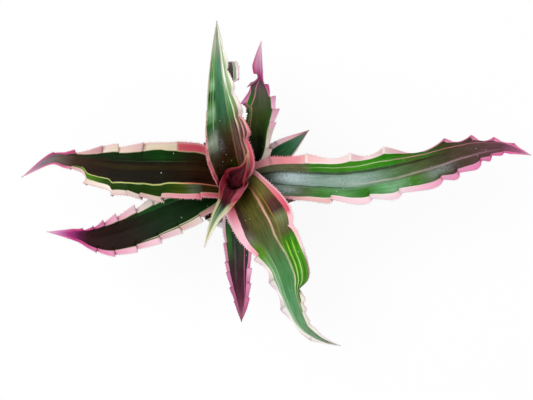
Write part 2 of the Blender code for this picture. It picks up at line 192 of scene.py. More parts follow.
LEAVES["top_leaf"] = dict(
    azimuth=97, height=78, clasp=105, cup=30,
    spine=[
        (-1, 10, 91, 17, 13.4, 0), (-4, 20, 107, 15, 15.6, 12), (-6, 33, 123, 11.6, 14.2, 18),
        (-7, 51, 138, 7.2, 9, 18), (-7, 68, 150, 3.6, 4.7, 10), (-7, 85, 157, 0, 0, 0),
    ],
    left=dict(kind="cusp", tall=0.8, deep=0.4, folds=[20, 28, 36, 44, 52, 60]),
    right=dict(kind="scallop", tall=2.2, deep=2.4, folds=[4, 32, 49, 63, 76, 88]),
)
LEAVES["young_leaf"] = dict(
    azimuth=243, height=82, clasp=105, cup=48, opens=30,
    spine=[
        (-2.2, -5.2, 91, 12.5, 12.5, 0), (-5.2, -13, 104, 6, 6, 0), (-9.5, -20.5, 118, 3.3, 3.3, 0),
        (-12.6, -28.4, 127, 1.7, 1.7, 0), (-15.3, -37, 134, 0, 0, 0),
    ],
    left=dict(kind="scallop", tall=0.7, deep=0.7, folds=[10, 20, 30, 40]),
    right=dict(kind="scallop", tall=0.6, deep=0.5, folds=[12, 24, 36]),
)
LEAVES["bud_leaf"] = dict(
    azimuth=62, height=83, clasp=62, cup=30, opens=14,
    spine=[
        (2, 3.8, 93, 8.5, 6.5, 0), (5.2, 7.4, 100, 4.2, 3.2, 0), (7, 11, 104.5, 1.6, 1.4, 0),
        (8.1, 15, 109, 0.8, 0.8, 0), (8.9, 18.2, 112, 0, 0, 0),
    ],
    left=STILL,
    right=STILL,
)
LEAVES["upper_right_leaf"] = dict(
    azimuth=55, height=65.5, clasp=45, cup=22,
    spine=[
        (9, 12, 74, 7.5, 8.5, 0), (13, 20, 81, 7.8, 10, 0), (14, 33, 86, 8, 11, 0),
        (14.6, 42, 88.3, 8.2, 13, 0), (14.8, 45.6, 89, 8.6, 13.5, 0), (15, 48.2, 89.3, 12.4, 12.6, 0),
        (15.5, 55, 90, 11.4, 9, 0), (15.5, 58.4, 91, 11.4, 6, 8), (15.5, 61, 91.7, 9.8, 3.6, 10),
        (15.6, 63.8, 92.5, 3, 2, 20), (16, 69, 94, 5.8, 1.2, 10), (16, 77, 97, 3.2, 0.7, 0),
        (16.3, 85, 100, 0, 0, 0),
    ],
    left=dict(
        kind="lap_back", tall=3, deep=5.5, folds=[45, 52, 58.5, 71.2, 78],
        sizes=[0.2, 0.3, 0.3, 1.25, 1.2, 0.6],
    ),
    right=dict(kind="lap_on", tall=3, deep=3.2, folds=[28.5, 46, 55, 63, 71]),
)
LEAVES["rear_leaf"] = dict(
    azimuth=112, height=62, clasp=40, cup=16,
    spine=[
        (-4, 14, 70, 7.5, 7.5, 0), (-5, 25, 77, 9, 8, 0), (-5, 42, 84, 9.5, 5.5, 0),
        (-6, 57, 85, 9, 4.6, 0), (-6.4, 61, 84.3, 8.9, 4.8, 0), (-6.5, 62.8, 83.6, 8.8, 9.6, 0),
        (-7, 69, 80, 8.5, 10, 0), (-7, 76, 71, 6.5, 8, 0), (-7, 79, 60, 0, 0, 0),
    ],
    left=dict(kind="scallop", tall=1.8, deep=2, folds=[30, 50, 70]),
    right=dict(kind="lap_on", tall=1.2, deep=1.2, folds=[40, 56, 68, 80]),
)
LEAVES["short_right_leaf"] = dict(
    azimuth=30, height=61, clasp=38, cup=26,
    spine=[
        (12, 8, 66, 7.5, 7.5, 0), (20, 14, 71, 9, 8.5, 0), (32, 22, 76, 7.3, 6.5, 0), (46, 33, 81, 0, 0, 0),
    ],
    left=dict(kind="cusp", tall=0.5, deep=0.4, folds=[30, 40, 50, 60]),
    right=STILL,
)
LEAVES["short_front_leaf"] = dict(
    azimuth=270, height=62, clasp=50, cup=22,
    spine=[
        (0, -13, 66, 7, 7, 0), (0, -22, 70, 8, 8.6, 0), (2, -39, 73, 8.6, 10, 0),
        (2, -58, 72, 8.6, 8.2, 0), (3, -74, 69, 6, 4.8, 0), (3.4, -89, 64, 0, 0, 0),
    ],
    left=dict(kind="lap_back", tall=1.3, deep=1.6, folds=[42, 57, 69, 80]),
    right=dict(kind="lap_back", tall=1.3, deep=1.6, folds=[38, 52.5, 60, 71, 82]),
)

# Last year's short leaves, dried and crumpled, lie under the others. Each has a dark and a light tone.
OLD_LEAF = dict(height=57, clasp=15, cup=20, left=STILL, right=STILL, crumple=0.5)
OLD_LEAVES = {
    "old_leaf_1": dict(
        azimuth=126, tones=("24080a", "5c2420"),
        spine=[(-9, 10, 60, 4.5, 4.5, 0), (-13, 17, 62, 4.5, 4.5, 0), (-18, 23, 62, 2.5, 2.5, 0),
               (-21, 26.5, 61.5, 0, 0, 0)],
    ),
    "old_leaf_2": dict(
        azimuth=212, tones=("240c08", "4c2418"),
        spine=[(-9.5, -8, 59.5, 3.5, 3.5, 0), (-13.5, -13.5, 60.8, 4, 4, 0), (-17, -19, 62, 3, 3, 0),
               (-20, -23.3, 62, 0, 0, 0)],
    ),
    "old_leaf_3": dict(
        azimuth=340, tones=("4a302a", "94786c"),
        spine=[(11, -4, 60, 5, 5, 0), (20, -7, 62, 5, 5, 0), (29, -10.5, 63, 3, 3, 0),
               (38, -11, 61.5, 0, 0, 0)],
    ),
    "old_leaf_4": dict(
        azimuth=252, tones=("7c8074", "b4b6a8"),
        spine=[(-5.5, -10, 61, 3, 3, 0), (-8, -15.5, 63.2, 3.6, 3.6, 0), (-11.5, -21.5, 63.8, 2.6, 2.6, 0),
               (-15.2, -27.5, 62.5, 0, 0, 0)],
    ),
}

# How each leaf is coloured. A table gives a number, a colour, or a colour and its strength, at hundredths
# of the leaf's length. Blade is the colour down the middle. Zones (from, to, softness, colours) and lines
# (at, half width, colours) lie at shares of the half width, which are positive to the left of the middle.
# Left_band and right_band are where the margins begin, and left and right are their colours. Inner is the
# line where a margin begins, rim is its outer edge, and the ridge colour is a painted highlight on the
# crests of the folds on the left; inner_share, rims and the ridge strengths are their strengths. Streaks is
# how strongly a blade is streaked, scurf and dust are how much silver scurf and how many specks it has, and
# the sheen list holds patches of painted sheen, a silvery glare painted into the colour: (from, to) along
# it, (from, to) across it, strength.
LOOKS = {}
LOOKS["right_leaf"] = dict(
    # The pale grey-blue of the blade near its base is painted sheen.
    blade={
        0: "1c221a", 12: "4c5a54", 20: "7e9289", 30: "75917f", 42: "729078", 50: "587850", 58: "475430",
        68: "423c28", 78: "543e38", 88: "664048", 95: "a4587e", 100: "dca0b8",
    },
    zones=[
        (0.22, 0.95, 0.08, {
            0: "34361f", 12: "5a5c42", 22: "565a38", 25: "2c6a0a", 33: "387a12", 42: "388018",
            50: "2c7e0c", 56: "3c5c18", 62: "34601a", 70: ("403e18", 0.6), 76: ("403a1a", 0)}),
        (-0.95, -0.38, 0.09, {
            0: "323a30", 12: "64746a", 22: "485838", 28: "427834", 34: "5a9056", 41: "2f7014",
            46: "5f9a62", 50: "78a87e", 56: "407422", 62: "5a6c4c", 70: ("4c3c36", 0.7), 80: ("4a3836", 0),
        }),
    ],
    lines=[
        ({0: 0.22, 30: 0.2, 60: 0.16}, 0.09, {
            5: ("182012", 0.8), 40: ("243218", 0.8), 60: ("302c14", 0.8), 72: ("34341a", 0)}),
        ({20: 0.44, 50: 0.44, 70: 0.4, 90: 0.42}, 0.035, {
            20: ("98b878", 0), 30: ("a4c484", 0.55), 45: ("acc088", 0.8), 52: ("bc9484", 0.8),
            70: "b8707c", 85: "bc688c", 95: ("c06a90", 0)}),
        ({30: -0.2, 50: -0.28, 72: -0.28, 90: -0.3}, 0.06, {
            30: ("b0b4a0", 0), 42: ("b4b8a8", 0.6), 55: ("aca296", 0.6), 65: ("a88a86", 0.6),
            80: ("a4788c", 0.6), 92: ("b888a0", 0)}),
        ({0: -0.36, 50: -0.38}, 0.045, {8: ("2c3a30", 0.8), 30: ("3a4836", 0.8), 44: ("3a4836", 0)}),
    ],
    left_band={
        0: 0.5, 12: 0.6, 25: 0.64, 40: 0.72, 50: 0.76, 58: 0.9, 67: 0.95, 69: 0.78, 74: 0.9, 76.5: 0.95,
        78: 0.7, 83: 0.88, 86: 0.6, 95: 0.5,
    },
    left={
        0: "a83c50", 6: "dc8088", 11: "eca4a8", 15: "ea9098", 20: "f09ca4", 24: "f8c4c4", 30: "fad4d4",
        36: "fee8e6", 38: "f8ccd2", 46: "fde4e4", 50: "f8ccd0", 55: "f4b4c2", 65: "f4a0c0", 75: "f28cb8",
        85: "f288b8", 95: "e474a4", 100: "e8a8c0",
    },
    right_band={
        0: 0.7, 10: 0.9, 15: 0.93, 20: 0.87, 25: 0.84, 33: 0.78, 60: 0.78, 70: 0.76, 80: 0.7, 90: 0.6,
    },
    right={
        0: "802838", 13: "b86870", 18: "cc8a90", 24: "e6b6b2", 31: "eec2c0", 33: "f8d0da", 45: "fee8f0",
        52: "fddce8", 58: "fcc0d8", 70: "f8a4cc", 80: "f28cc0", 90: "e864a4", 100: "e090b0",
    },
    inner="fbf4e4", inner_share={20: 0, 25: 0.7, 54: 0.6, 60: 0.15}, streaks=0.25, scurf=0.3, dust=0.5,
    # Painted highlight on the crests of the left margin's folds, and its strength along the leaf.
    painted_ridge_highlight="fff2ec", painted_ridge_highlights={17: 0, 20: 1, 50: 1, 56: 0},
    # Painted sheen: patches of silvery glare on the blade.
    painted_sheen=[
        ((15, 22), (-0.2, 0.14), 1), ((16, 18), (-0.7, -0.5), 0.8), ((30, 45), (-0.25, 0.05), 0.35),
        ((62, 68), (-0.6, -0.3), 0.4),
    ],
)
LEFT_RIB = {
    0: 0.46, 10: 0.45, 16: 0.42, 20: 0.4, 28: 0.38, 32: 0.41, 40: 0.45, 47: 0.51, 51.5: 0.52, 54: 0.48,
    64: 0.42,
}
LOOKS["left_leaf"] = dict(
    # The greys towards the tip, at 78 and 86 hundredths, are painted sheen.
    blade={
        0: "30160a", 15: "261206", 30: "100c00", 50: "120a00", 62: "24150a", 70: "38281c", 78: "625650",
        86: "84767e", 93: "b88aa4", 100: "d9a0b8",
    },
    zones=[
        (-0.95, -0.38, 0.06, {
            0: "30180a", 20: "1c1804", 26: "0c2404", 33: "043202", 42: "0a2204", 50: "081e04",
            65: ("1a2c14", 0.8), 74: ("302e20", 0)}),
        # In this zone the grey-greens at 17 and 20 hundredths are painted sheen.
        (LEFT_RIB, 0.98, 0.02, {
            0: "2e2408", 14: "342a0c", 17: "4c5844", 20: "4a563c", 23: "38480c", 30: "1e3804",
            45: "183206", 55: "243e08", 60: "46701c", 68: "4a7820", 72: ("557a2a", 0)}),
    ],
    lines=[
        (-0.33, 0.03, {15: ("1f4a20", 0), 30: ("265228", 0.5), 65: ("1f4a20", 0)}),
        ({0: -0.12, 70: -0.1}, 0.14, {10: ("30220a", 0.4), 50: ("2e280e", 0.6), 70: ("3a3020", 0)}),
        ({0: 0.26, 70: 0.24}, 0.08, {10: ("0a0400", 0.5), 50: ("0a0600", 0.6), 70: ("1a1008", 0)}),
        (LEFT_RIB, 0.035, {
            0: "b5624a", 20: "b87258", 28: "b8bc74", 45: "b0b870", 66: "b4bc70", 70: ("a9b468", 0)}),
    ],
    left_band={0: 0.76, 20: 0.8, 30: 0.82, 40: 0.84, 50: 0.8, 60: 0.74, 68: 0.6, 76: 0.7, 90: 0.75},
    left={
        0: "cc5868", 12: "da6e7c", 18: "ec94a4", 29: "ecaab2", 32: "dccabc", 39: "d8b8b4", 40: "e2d4c8",
        50: "dcc6c0", 52: "ece0d4", 60: "e8dccc", 70: "e0a8b4", 75: "c35a80", 85: "cc6894", 100: "dba6b8",
    },
    right_band={
        0: 0.62, 15: 0.64, 25: 0.7, 32.5: 0.76, 40: 0.72, 50: 0.68, 60: 0.66, 72: 0.7, 82: 0.62, 100: 0.5,
    },
    right={
        0: "dc6474", 12: "e0808c", 17: "cc5060", 24.5: "c85866", 26: "e0cfb4", 38: "e2d2ba",
        40.5: "d8b4b0", 49: "e0cabc", 51: "dcc8b8", 57: "e2d0c4", 59: "d49aa4", 69: "dcb4b0", 71: "c0507c",
        80: "b84880", 90: "c86294", 100: "d9a0b4",
    },
    inner="d8d8a0", inner_share={66: 0.35, 74: 0}, rim="e8b4b8", rims=0.5, streaks=0.35, scurf=0.03,
)
LOOKS["lower_left_leaf"] = dict(
    blade={
        0: "081a06", 15: "0a2608", 35: "0c240a", 45: "121c0a", 54: "1c120a", 66: "200f0a", 76: "280f14",
        81: "52183a", 87: "a43478", 93: "c880b0", 100: "e4b8d0",
    },
    zones=[
        (-0.9, -0.45, 0.1, {
            10: ("144a14", 0), 20: ("144a14", 0.8), 42: ("1c501c", 0.8), 55: ("2c3a1c", 0)}),
    ],
    lines=[
        (-0.45, 0.04, {15: ("2f5a38", 0), 25: ("3a6a44", 0.6), 50: ("2f5a38", 0)}),
        ({0: 0.6, 50: 0.68}, 0.03, {0: "d8cfa8", 42: "d8cfa8", 50: ("d8cfa8", 0)}),
    ],
    left_band={0: 0.66, 30: 0.72, 45: 0.74, 60: 0.74, 75: 0.7, 85: 0.5},
    left={
        0: "b06070", 10: "cc9a9c", 19: "c08c88", 21: "e6d6cc", 30: "d0b0a8", 32: "e8ccd0", 42: "d8aab4",
        44: "ecc4d0", 52: "d8a4b4", 54: "eab8c8", 66: "e090b4", 77: "c44888", 84: "b43478", 92: "d078ac",
        100: "e4b4cc",
    },
    right_band={0: 0.7, 30: 0.7, 50: 0.64, 62: 0.6, 75: 0.7, 85: 0.5},
    right={
        0: "f4ece0", 38: "f8eee4", 46.5: "e0d0c8", 48.5: "f2ccd4", 57: "e0a4b8", 59: "eeb0c8",
        65: "d080a4", 76: "c44484", 84: "b43478", 92: "d078ac", 100: "e4b4cc",
    },
    inner="bcc090", inner_share={60: 0.35, 72: 0}, rim="f0c8d0", rims=0.4, streaks=0.35, scurf=0.03,
)
LOOKS["front_leaf"] = dict(
    blade={
        0: "281a08", 8: "3e360e", 15: "545020", 25: "525226", 35: "4e6438", 42: "4e7c48", 52: "4e8a50",
        62: "589260", 75: "68986c", 85: "6c8c68", 93: "6a7466", 100: "c8c0b8",
    },
    zones=[
        (0.36, 0.95, 0.05, {
            0: "6a6030", 12: "706a38", 18: "542e28", 22: "482c26", 25: "747c50", 28: "5a5c38",
            32: "4c5028", 34.5: "38780e", 40: "4a901c", 50: "4c8c24", 60: "3c6a24", 68: "7a9070",
            76: ("8a9a80", 0)}),
        # In this zone the dark browns by the base are painted shade under the young leaf, and the grey at 28
        # hundredths is painted sheen.
        (-0.95, -0.36, 0.12, {
            0: "2c140c", 12: "38241a", 22: "4a382e", 28: "6a6658", 31: "5c7040", 34: "50780e",
            37: "5a8a30", 42: "74a468", 60: "80ac80", 85: "c8d8c0"}),
    ],
    lines=[
        ({5: 0.32, 20: 0.28, 28: 0.25, 42: 0.35, 55: 0.37, 65: 0.41}, 0.05, {
            5: "b07a50", 20: "c89a80", 34: "b09a7c", 42: "a8a888", 55: "c8cca8", 78: ("d0d8b8", 0)}),
        ({5: 0.44, 30: 0.42}, 0.03, {5: "7a6018", 20: "8a6c20", 33: "98782c", 40: ("98782c", 0)}),
        ({5: 0.37, 50: 0.45}, 0.02, {5: ("4a3c14", 0.7), 30: ("4a3c14", 0.7), 36: "2f6a10", 60: "3a7028"}),
        ({18: -0.42, 40: -0.32}, 0.02, {16: ("7a5838", 0), 24: ("7a5838", 0.5), 36: ("8a7a30", 0)}),
        (0.52, 0.03, {34: ("a8d060", 0), 38: "a0d040", 60: "b8d890", 70: ("b8d890", 0)}),
        (0.6, 0.03, {34: ("2c6a10", 0), 37: ("2c6a10", 0.8), 60: ("3a7028", 0.8), 68: ("3a7028", 0)}),
        (0.7, 0.03, {34: ("8cc850", 0), 38: "90cc40", 60: "c0e0a0", 70: ("b8d890", 0)}),
        (0.82, 0.03, {34: ("2c6a10", 0), 37: ("2c6a10", 0.8), 60: ("3a7028", 0.8), 68: ("3a7028", 0)}),
        ({40: -0.3, 90: -0.36}, 0.03, {34: ("b0d0a0", 0), 42: ("a8c898", 0.7), 80: ("c8dcc0", 0.8)}),
        (-0.55, 0.04, {36: ("c0d8b0", 0), 50: "d8e8cc", 90: "e8efe0"}),
        (0.02, 0.08, {74: ("a8c0a8", 0), 84: ("b8ccb8", 0.7), 95: ("c0ccc0", 0.7)}),
    ],
    left_band={0: 0.84, 10: 0.82, 20: 0.82, 29: 0.84, 36: 0.9, 45: 0.95, 58: 0.95, 61: 0.7, 80: 0.5},
    left={
        0: "d86874", 5: "ee9ca0", 10: "eea0a6", 16: "e47c88", 22: "da5a6c", 24.5: "da5a6c", 26: "fcc8d0",
        33: "f0b4b8", 40: "ecd9d2", 46: "8a7a60", 58: "5a5a3c", 61: "f4eee0", 85: "fbf6ec", 100: "ecdcd4",
    },
    right_band={0: 0.54, 12: 0.56, 25: 0.67, 35: 0.74, 42: 0.74, 55: 0.64, 70: 0.6, 85: 0.5},
    right={
        0: "6c1018", 11: "a42c40", 13.5: "e07c8c", 18: "fcb0c2", 22: "ffccda", 29: "ffc8d8",
        34.5: "f4a0b4", 36: "fff0ec", 60: "fffdfa", 90: "fffaf6", 100: "dcd0c8",
    },
    inner="d8e0b8", inner_share={30: 0, 36: 0.4}, rim="f8ccd6", streaks=0.35, scurf=0.15, dust=0.35,
)
LOOKS["top_leaf"] = dict(
    blade={
        0: "301c08", 10: "241806", 20: "2e1a08", 30: "34200f", 38: "3c321c", 45: "3c4c2c", 52: "386240",
        65: "40744e", 80: "5a8a66", 90: "8f9a84", 100: "8a7870",
    },
    zones=[
        (-0.25, 0.1, 0.3, {0: ("4c6008", 0.6), 8: "567004", 13: ("4c6008", 0.5), 22: ("4c5008", 0)}),
        # In this zone the grey-greens from 33.5 to 42 hundredths are painted sheen.
        (0.34, 0.98, 0.08, {
            20: "2c1a0a", 30: "443c28", 33.5: "7c886c", 38: "98a48c", 42: "74845c", 45: "245410",
            48.5: "246010", 51: "6a9c68", 56: "8cb888", 60: "4f9040", 62: "185808", 65.5: "206410",
            67.5: "78ac70", 70: "90bc88", 74: "4f8a40", 82: "5c9450", 90: "a8b494"}),
        (-0.6, -0.36, 0.05, {
            0: "4a2a20", 20: "5f4038", 35: "6a5248", 45: "5a4a40", 52: "4c8440", 65: "7cac74",
            74: "90b884", 82: "acc89c", 95: "dce4c8"}),
        (-0.96, -0.62, 0.04, {
            0: "5a4a30", 15: "7c6a46", 30: "5c4034", 42: "6a4a40", 52: "8a7a5a", 60: "88a868",
            66: "a8c090", 75: "c0d4ac", 95: "ecf0dc"}),
    ],
    lines=[
        ({5: -0.3, 50: -0.34, 90: -0.3}, 0.05, {
            0: ("6a4028", 0.8), 25: ("845434", 0.8), 40: ("8c6a44", 0.8), 50: ("7c9058", 0.6),
            62: ("98b080", 0.6), 80: "d0d8b8", 95: ("d0d8b8", 0)}),
        ({0: -0.62, 50: -0.62, 75: -0.5, 100: -0.4}, 0.05, {
            10: ("c88078", 0), 20: ("c07870", 0.8), 40: ("cc9888", 0.8), 50: "e4d8c0", 62: "f4f0dc",
            95: "fdfaf0"}),
        ({60: -0.46, 75: -0.42, 100: -0.4}, 0.07, {64: ("f6f4e4", 0), 72: "fcfaf0", 95: "fffdf4"}),
        ({50: -0.72, 80: -0.66, 100: -0.6}, 0.04, {50: ("5c8a4c", 0), 58: "6a9a5c", 85: ("88b078", 0.8)}),
        ({20: -0.78, 50: -0.8}, 0.045, {12: ("c06c78", 0), 22: "c8788a", 42: "e0a4a8", 50: ("e0a4a8", 0)}),
        ({0: -0.56, 50: -0.54}, 0.03, {10: ("3a2018", 0.8), 40: ("3a2018", 0.8), 55: ("3a2018", 0)}),
        (0.5, 0.05, {40: ("b8d4b0", 0), 50: ("b8d4b0", 0.8), 90: ("c8d8b8", 0.8)}),
        (0.72, 0.03, {50: ("98c890", 0), 56: ("a8d09c", 0.8), 90: ("c8d8b8", 0.8)}),
    ],
    left_band={0: 0.76, 30: 0.86, 50: 0.96, 100: 0.94},
    left={
        0: "b83a4c", 20: "cc5868", 35: "e09aa0", 42: "dcb4a8", 50: "a8b088", 65: "c8c4a0", 80: "a8a484",
        100: "9a8a80",
    },
    right_band={0: 0.76, 20: 0.8, 35: 0.88, 46: 0.9, 50: 0.82, 62: 0.82, 80: 0.84, 95: 0.8},
    right={
        0: "d05c70", 10: "dc6478", 30: "dc6072", 34: "e88490", 48: "eca4ac", 50: "f8dcdc", 60: "fbf0ea",
        70: "fcf8ec", 90: "f8f0e4", 100: "b8a898",
    },
    inner="e8e0c4", rim="e8909c", rims={30: 0.8, 46: 0.6, 60: 0.15}, streaks=0.35, scurf=0.25, dust=0.6,
    # Painted sheen: patches of silvery glare on the blade.
    painted_sheen=[((30, 36), (0.1, 0.6), 0.25), ((39, 44), (0.3, 0.85), 0.4)],
)
LOOKS["young_leaf"] = dict(
    blade={
        0: "4c141e", 12: "6a2230", 20: "662430", 28: "5a1e28", 36: "441a24", 43: "3c3232", 50: "4a6450",
        60: "5f8260", 75: "88a078", 90: "b8b490", 100: "d8c8a8",
    },
    zones=[
        (0.25, 0.9, 0.08, {36: ("a8a070", 0), 45: "b4c290", 60: "ccd4a8", 90: "ecead0"}),
    ],
    lines=[
        ({0: 0.12, 50: 0.1}, 0.05, {10: ("8a2a4a", 0), 20: ("9a3050", 0.8), 45: ("8a2a4a", 0)}),
        ({0: 0.32, 50: 0.3}, 0.05, {10: ("a04060", 0), 20: ("b04868", 0.9), 50: ("a8a070", 0)}),
        ({0: 0.52, 100: 0.5}, 0.05, {30: ("e8e8c0", 0), 45: "f2f2d0", 95: "f6f6e0"}),
        (-0.4, 0.04, {40: ("a8c890", 0), 50: "b8d4a0", 95: "d4d8a8"}),
    ],
    left_band={0: 0.28, 30: 0.36, 45: 0.7, 100: 0.6},
    left={0: "c85a74", 20: "d0687e", 32: "bc4c60", 42: "dca488", 50: "ece8c4", 80: "f0ecd0", 100: "e8dccc"},
    right_band={0: 0.42, 30: 0.5, 45: 0.7, 100: 0.6},
    right={
        0: "8a1c30", 10: "a02840", 28: "b03c50", 38: "c07060", 45: "dcdca8", 80: "e8e4b8", 100: "e8dccc",
    },
    inner="b87068", streaks=0.3, scurf=0.1,
)
LOOKS["bud_leaf"] = dict(
    blade={0: "2c0c14", 40: "4c1822", 70: "5c2630", 85: "a86850", 100: "e0b890"},
    zones=[],
    lines=[],
    left_band={0: 0.75, 100: 0.7},
    left={0: "801c2c", 60: "a83c40", 85: "c88860", 100: "e0c0a0"},
    right_band={0: 0.75, 100: 0.7},
    right={0: "801c2c", 60: "a83c40", 85: "c88860", 100: "e0c0a0"},
    inner="904048", streaks=0.2, scurf=0.2,
)
UPPER_RIGHT_RIB = {40: 0.64, 55.5: 0.54, 57.5: 0.35, 62: 0.28, 68: 0.24, 72: 0.16}
LOOKS["upper_right_leaf"] = dict(
    blade={
        0: "020400", 20: "040600", 35: "0e1400", 50: "344418", 60: "465036", 68: "5a544c", 73: "60384a",
        77: "9c3a6a", 84: "c07ca0", 92: "d4a4be", 100: "e0b0c4",
    },
    zones=[
        (-0.95, -0.45, 0.1, {
            10: ("123c10", 0), 25: "123c0e", 42: "1b5212", 55: "2f4a20", 64: ("44503c", 0)}),
        (UPPER_RIGHT_RIB, 0.9, 0.04, {
            45: ("2a5a1c", 0), 54: ("2a5a1c", 0.6), 58: "2a701c", 64: "3a5a28", 70: ("3a5a28", 0)}),
    ],
    lines=[
        (UPPER_RIGHT_RIB, 0.04, {
            38: ("c08070", 0), 46: "c08070", 60: "c08088", 72: "c07898", 77: ("c07898", 0)}),
        (-0.1, 0.25, {76: ("d8b0c8", 0), 84: ("d8a8c4", 0.6), 95: ("e8c8d8", 0.8)}),
    ],
    left_band={0: 0.9, 40: 0.85, 50: 0.72, 60: 0.62, 70: 0.56, 80: 0.7},
    left={
        0: "1c2810", 30: "20300e", 44: "2c3c1c", 54: "3a4a28", 57: "b06478", 59: "f098c8", 66: "d070a8",
        70: "e088b8", 80: "bc3c80", 100: "dda0bc",
    },
    right_band={0: 0.5, 25: 0.55, 40: 0.62, 50: 0.66, 60: 0.68, 70: 0.66},
    right={
        0: "d4c8bc", 12: "f0e8de", 20: "fffaf4", 28: "ecdcd0", 40: "e0ccc4", 44: "f0bccc", 46: "facce0",
        54: "e8a8c4", 56: "f8c8e0", 62: "e0a0c0", 64: "d868a8", 72: "c04890", 85: "c8609c", 100: "dda0bc",
    },
    inner="b8c888", streaks=0.15, scurf=0.1,
)
LOOKS["rear_leaf"] = dict(
    blade={0: "10140c", 50: "22281a", 70: "34302a", 80: "403a34", 100: "6a6058"},
    zones=[
        (-0.8, -0.66, 0.03, {30: ("2a4020", 0), 50: "6f8060", 80: "9aa890", 100: "a0a890"}),
    ],
    lines=[
        (-0.62, 0.03, {30: ("c0b8a0", 0), 50: "c8c4ac", 90: "d8d4c0"}),
    ],
    left_band={0: 0.7},
    left={0: "c0b0a8", 100: "ece4dc"},
    right_band={0: 0.8},
    right={0: "c0a0a0", 40: "ece0dc", 70: "f2eeea", 100: "ece4dc"},
    inner="e0e4cc", rim="e8a0c0", streaks=0.25, scurf=0.2,
)
LOOKS["short_right_leaf"] = dict(
    blade={0: "0e1c12", 30: "14341e", 50: "1c4a2a", 70: "2a5c38", 85: "4a705a", 100: "8a5a68"},
    zones=[],
    lines=[
        (-0.3, 0.03, {30: ("4f8a5c", 0), 50: "5a9468", 85: ("5a9468", 0)}),
        (-0.55, 0.03, {30: ("4f8a5c", 0), 45: "5f9870", 85: ("5a9468", 0)}),
        (0.1, 0.03, {30: ("2f6a40", 0), 50: "3a744a", 85: ("5a9468", 0)}),
    ],
    left_band={0: 0.5, 30: 0.5, 60: 0.56, 90: 0.5},
    left={0: "4a1c24", 36: "6c363e", 42: "b08488", 46: "e0c4c8", 65: "f0ccd4", 85: "e0a0ac", 100: "5a4040"},
    right_band={0: 0.9},
    right={0: "c08890", 40: "e8c4cc", 85: "e0b0bc", 100: "5a4040"},
    inner="7a6a60", streaks=0.35, scurf=0.1,
)
LOOKS["short_front_leaf"] = dict(
    blade={
        0: "102814", 15: "1a341a", 30: "2a3a2a", 45: "383a30", 58: "3a262a", 68: "46222e", 80: "582a3a",
        88: "743c52", 95: "9a5870", 100: "6a4048",
    },
    zones=[
        (-0.95, -0.45, 0.06, {
            0: "1c3c1c", 20: "2c4c28", 36: "3c7034", 42: "38602c", 50: "304020", 60: ("342c28", 0)}),
        (0.42, 0.95, 0.05, {30: ("3a4030", 0), 36: "50682c", 44: "3a3c20", 60: ("3a2830", 0)}),
    ],
    lines=[
        ({30: 0.42, 90: 0.4}, 0.05, {32: ("c07090", 0), 42: "b06080", 75: "a05080", 90: ("b06090", 0)}),
        (-0.25, 0.08, {30: ("50605a", 0), 45: ("5a5a58", 0.6), 80: ("60506a", 0)}),
    ],
    left_band={0: 0.8, 30: 0.8, 52: 0.76, 58: 0.62, 70: 0.58, 85: 0.46},
    left={
        0: "e0a0bc", 30: "dca0b8", 41: "d080a4", 43: "f4a8cc", 56: "d47ca4", 58: "f8b4d4", 68: "cc749c",
        70: "e490b8", 85: "c4648e", 100: "804a60",
    },
    right_band={0: 0.78, 35: 0.84, 50: 0.8, 70: 0.64, 90: 0.5},
    right={
        0: "e4b0c4", 20: "f0cad8", 36: "e4acc0", 39: "e898bc", 52: "d488ac", 54: "ec9cc2", 65: "cc7aa4",
        85: "bc6490", 100: "8a5068",
    },
    inner="b8a0a0", streaks=0.15, scurf=0.15,
)


def ease(share):
    share = np.clip(share, 0.0, 1.0)
    return share * share * (3 - 2 * share)


def stem_radius(height):
    share = (height - STEM_FOOT) / (STEM_TOP - STEM_FOOT)
    return STEM_FOOT_RADIUS + share * (STEM_TIP_RADIUS - STEM_FOOT_RADIUS)


def curve_through(rows, per_span=40):
    """A Catmull-Rom curve through the rows, sampled closely. Every column is carried along."""
    rows = np.array(rows, dtype=float)
    ends = np.vstack([2 * rows[0] - rows[1], rows, 2 * rows[-1] - rows[-2]])
    t = np.linspace(0, 1, per_span, endpoint=False)[:, None]
    spans = [
        0.5 * (2 * b + (c - a) * t + (2 * a - 5 * b + 4 * c - d) * t * t + (3 * b - a - 3 * c + d) * t**3)
        for a, b, c, d in zip(ends, ends[1:], ends[2:], ends[3:])
    ]
    return np.vstack([*spans, rows[-1:]])


def arc_lengths(points):
    return np.concatenate([[0], np.cumsum(np.linalg.norm(np.diff(points, axis=0), axis=1))])


def unit(vectors):
    return vectors / np.maximum(np.linalg.norm(vectors, axis=-1, keepdims=True), 1e-9)


def through(marks, reach, table):
    """Each column of a table, read at the marks along its reach."""
    return np.column_stack([np.interp(marks, reach, column) for column in table.T])


def fold_shape(kind, part):
    """One ruffle's rise, pull inwards and slide to the tip, as part runs from 0 to 1 between two folds.

    A cusp stands up at its folds and hollows between them. A scallop and a drape bulge between them, and
    a drape is the squarer. A curl is high by the base and rolls under towards the tip. A lap_back laps over
    the ruffle nearer the base and a lap_on over the one nearer the tip. A tuck slips its wide base end
    under its neighbour.
    """
    turn = math.tau * part
    even = 2 * part - 1
    if kind == "cusp":
        return np.cos(turn), np.sin(math.pi * part**1.25) ** 0.8, 0.3 * np.sin(turn)
    if kind == "scallop":
        return -np.cos(turn), 1 - np.sin(math.pi * part) ** 0.55, 0.5 * even
    if kind == "curl":
        return 1 - 2 * part**1.5, 1 - np.sin(math.pi * part**2.6) ** 0.5, 0.9 * even
    if kind == "drape":
        return -np.cos(turn), abs(even) ** 6, 0.5 * even
    if kind == "lap_back":
        return -even, part**0.8, even
    if kind == "tuck":
        return even, part**0.8, even
    return even, (1 - part) ** 0.8, even


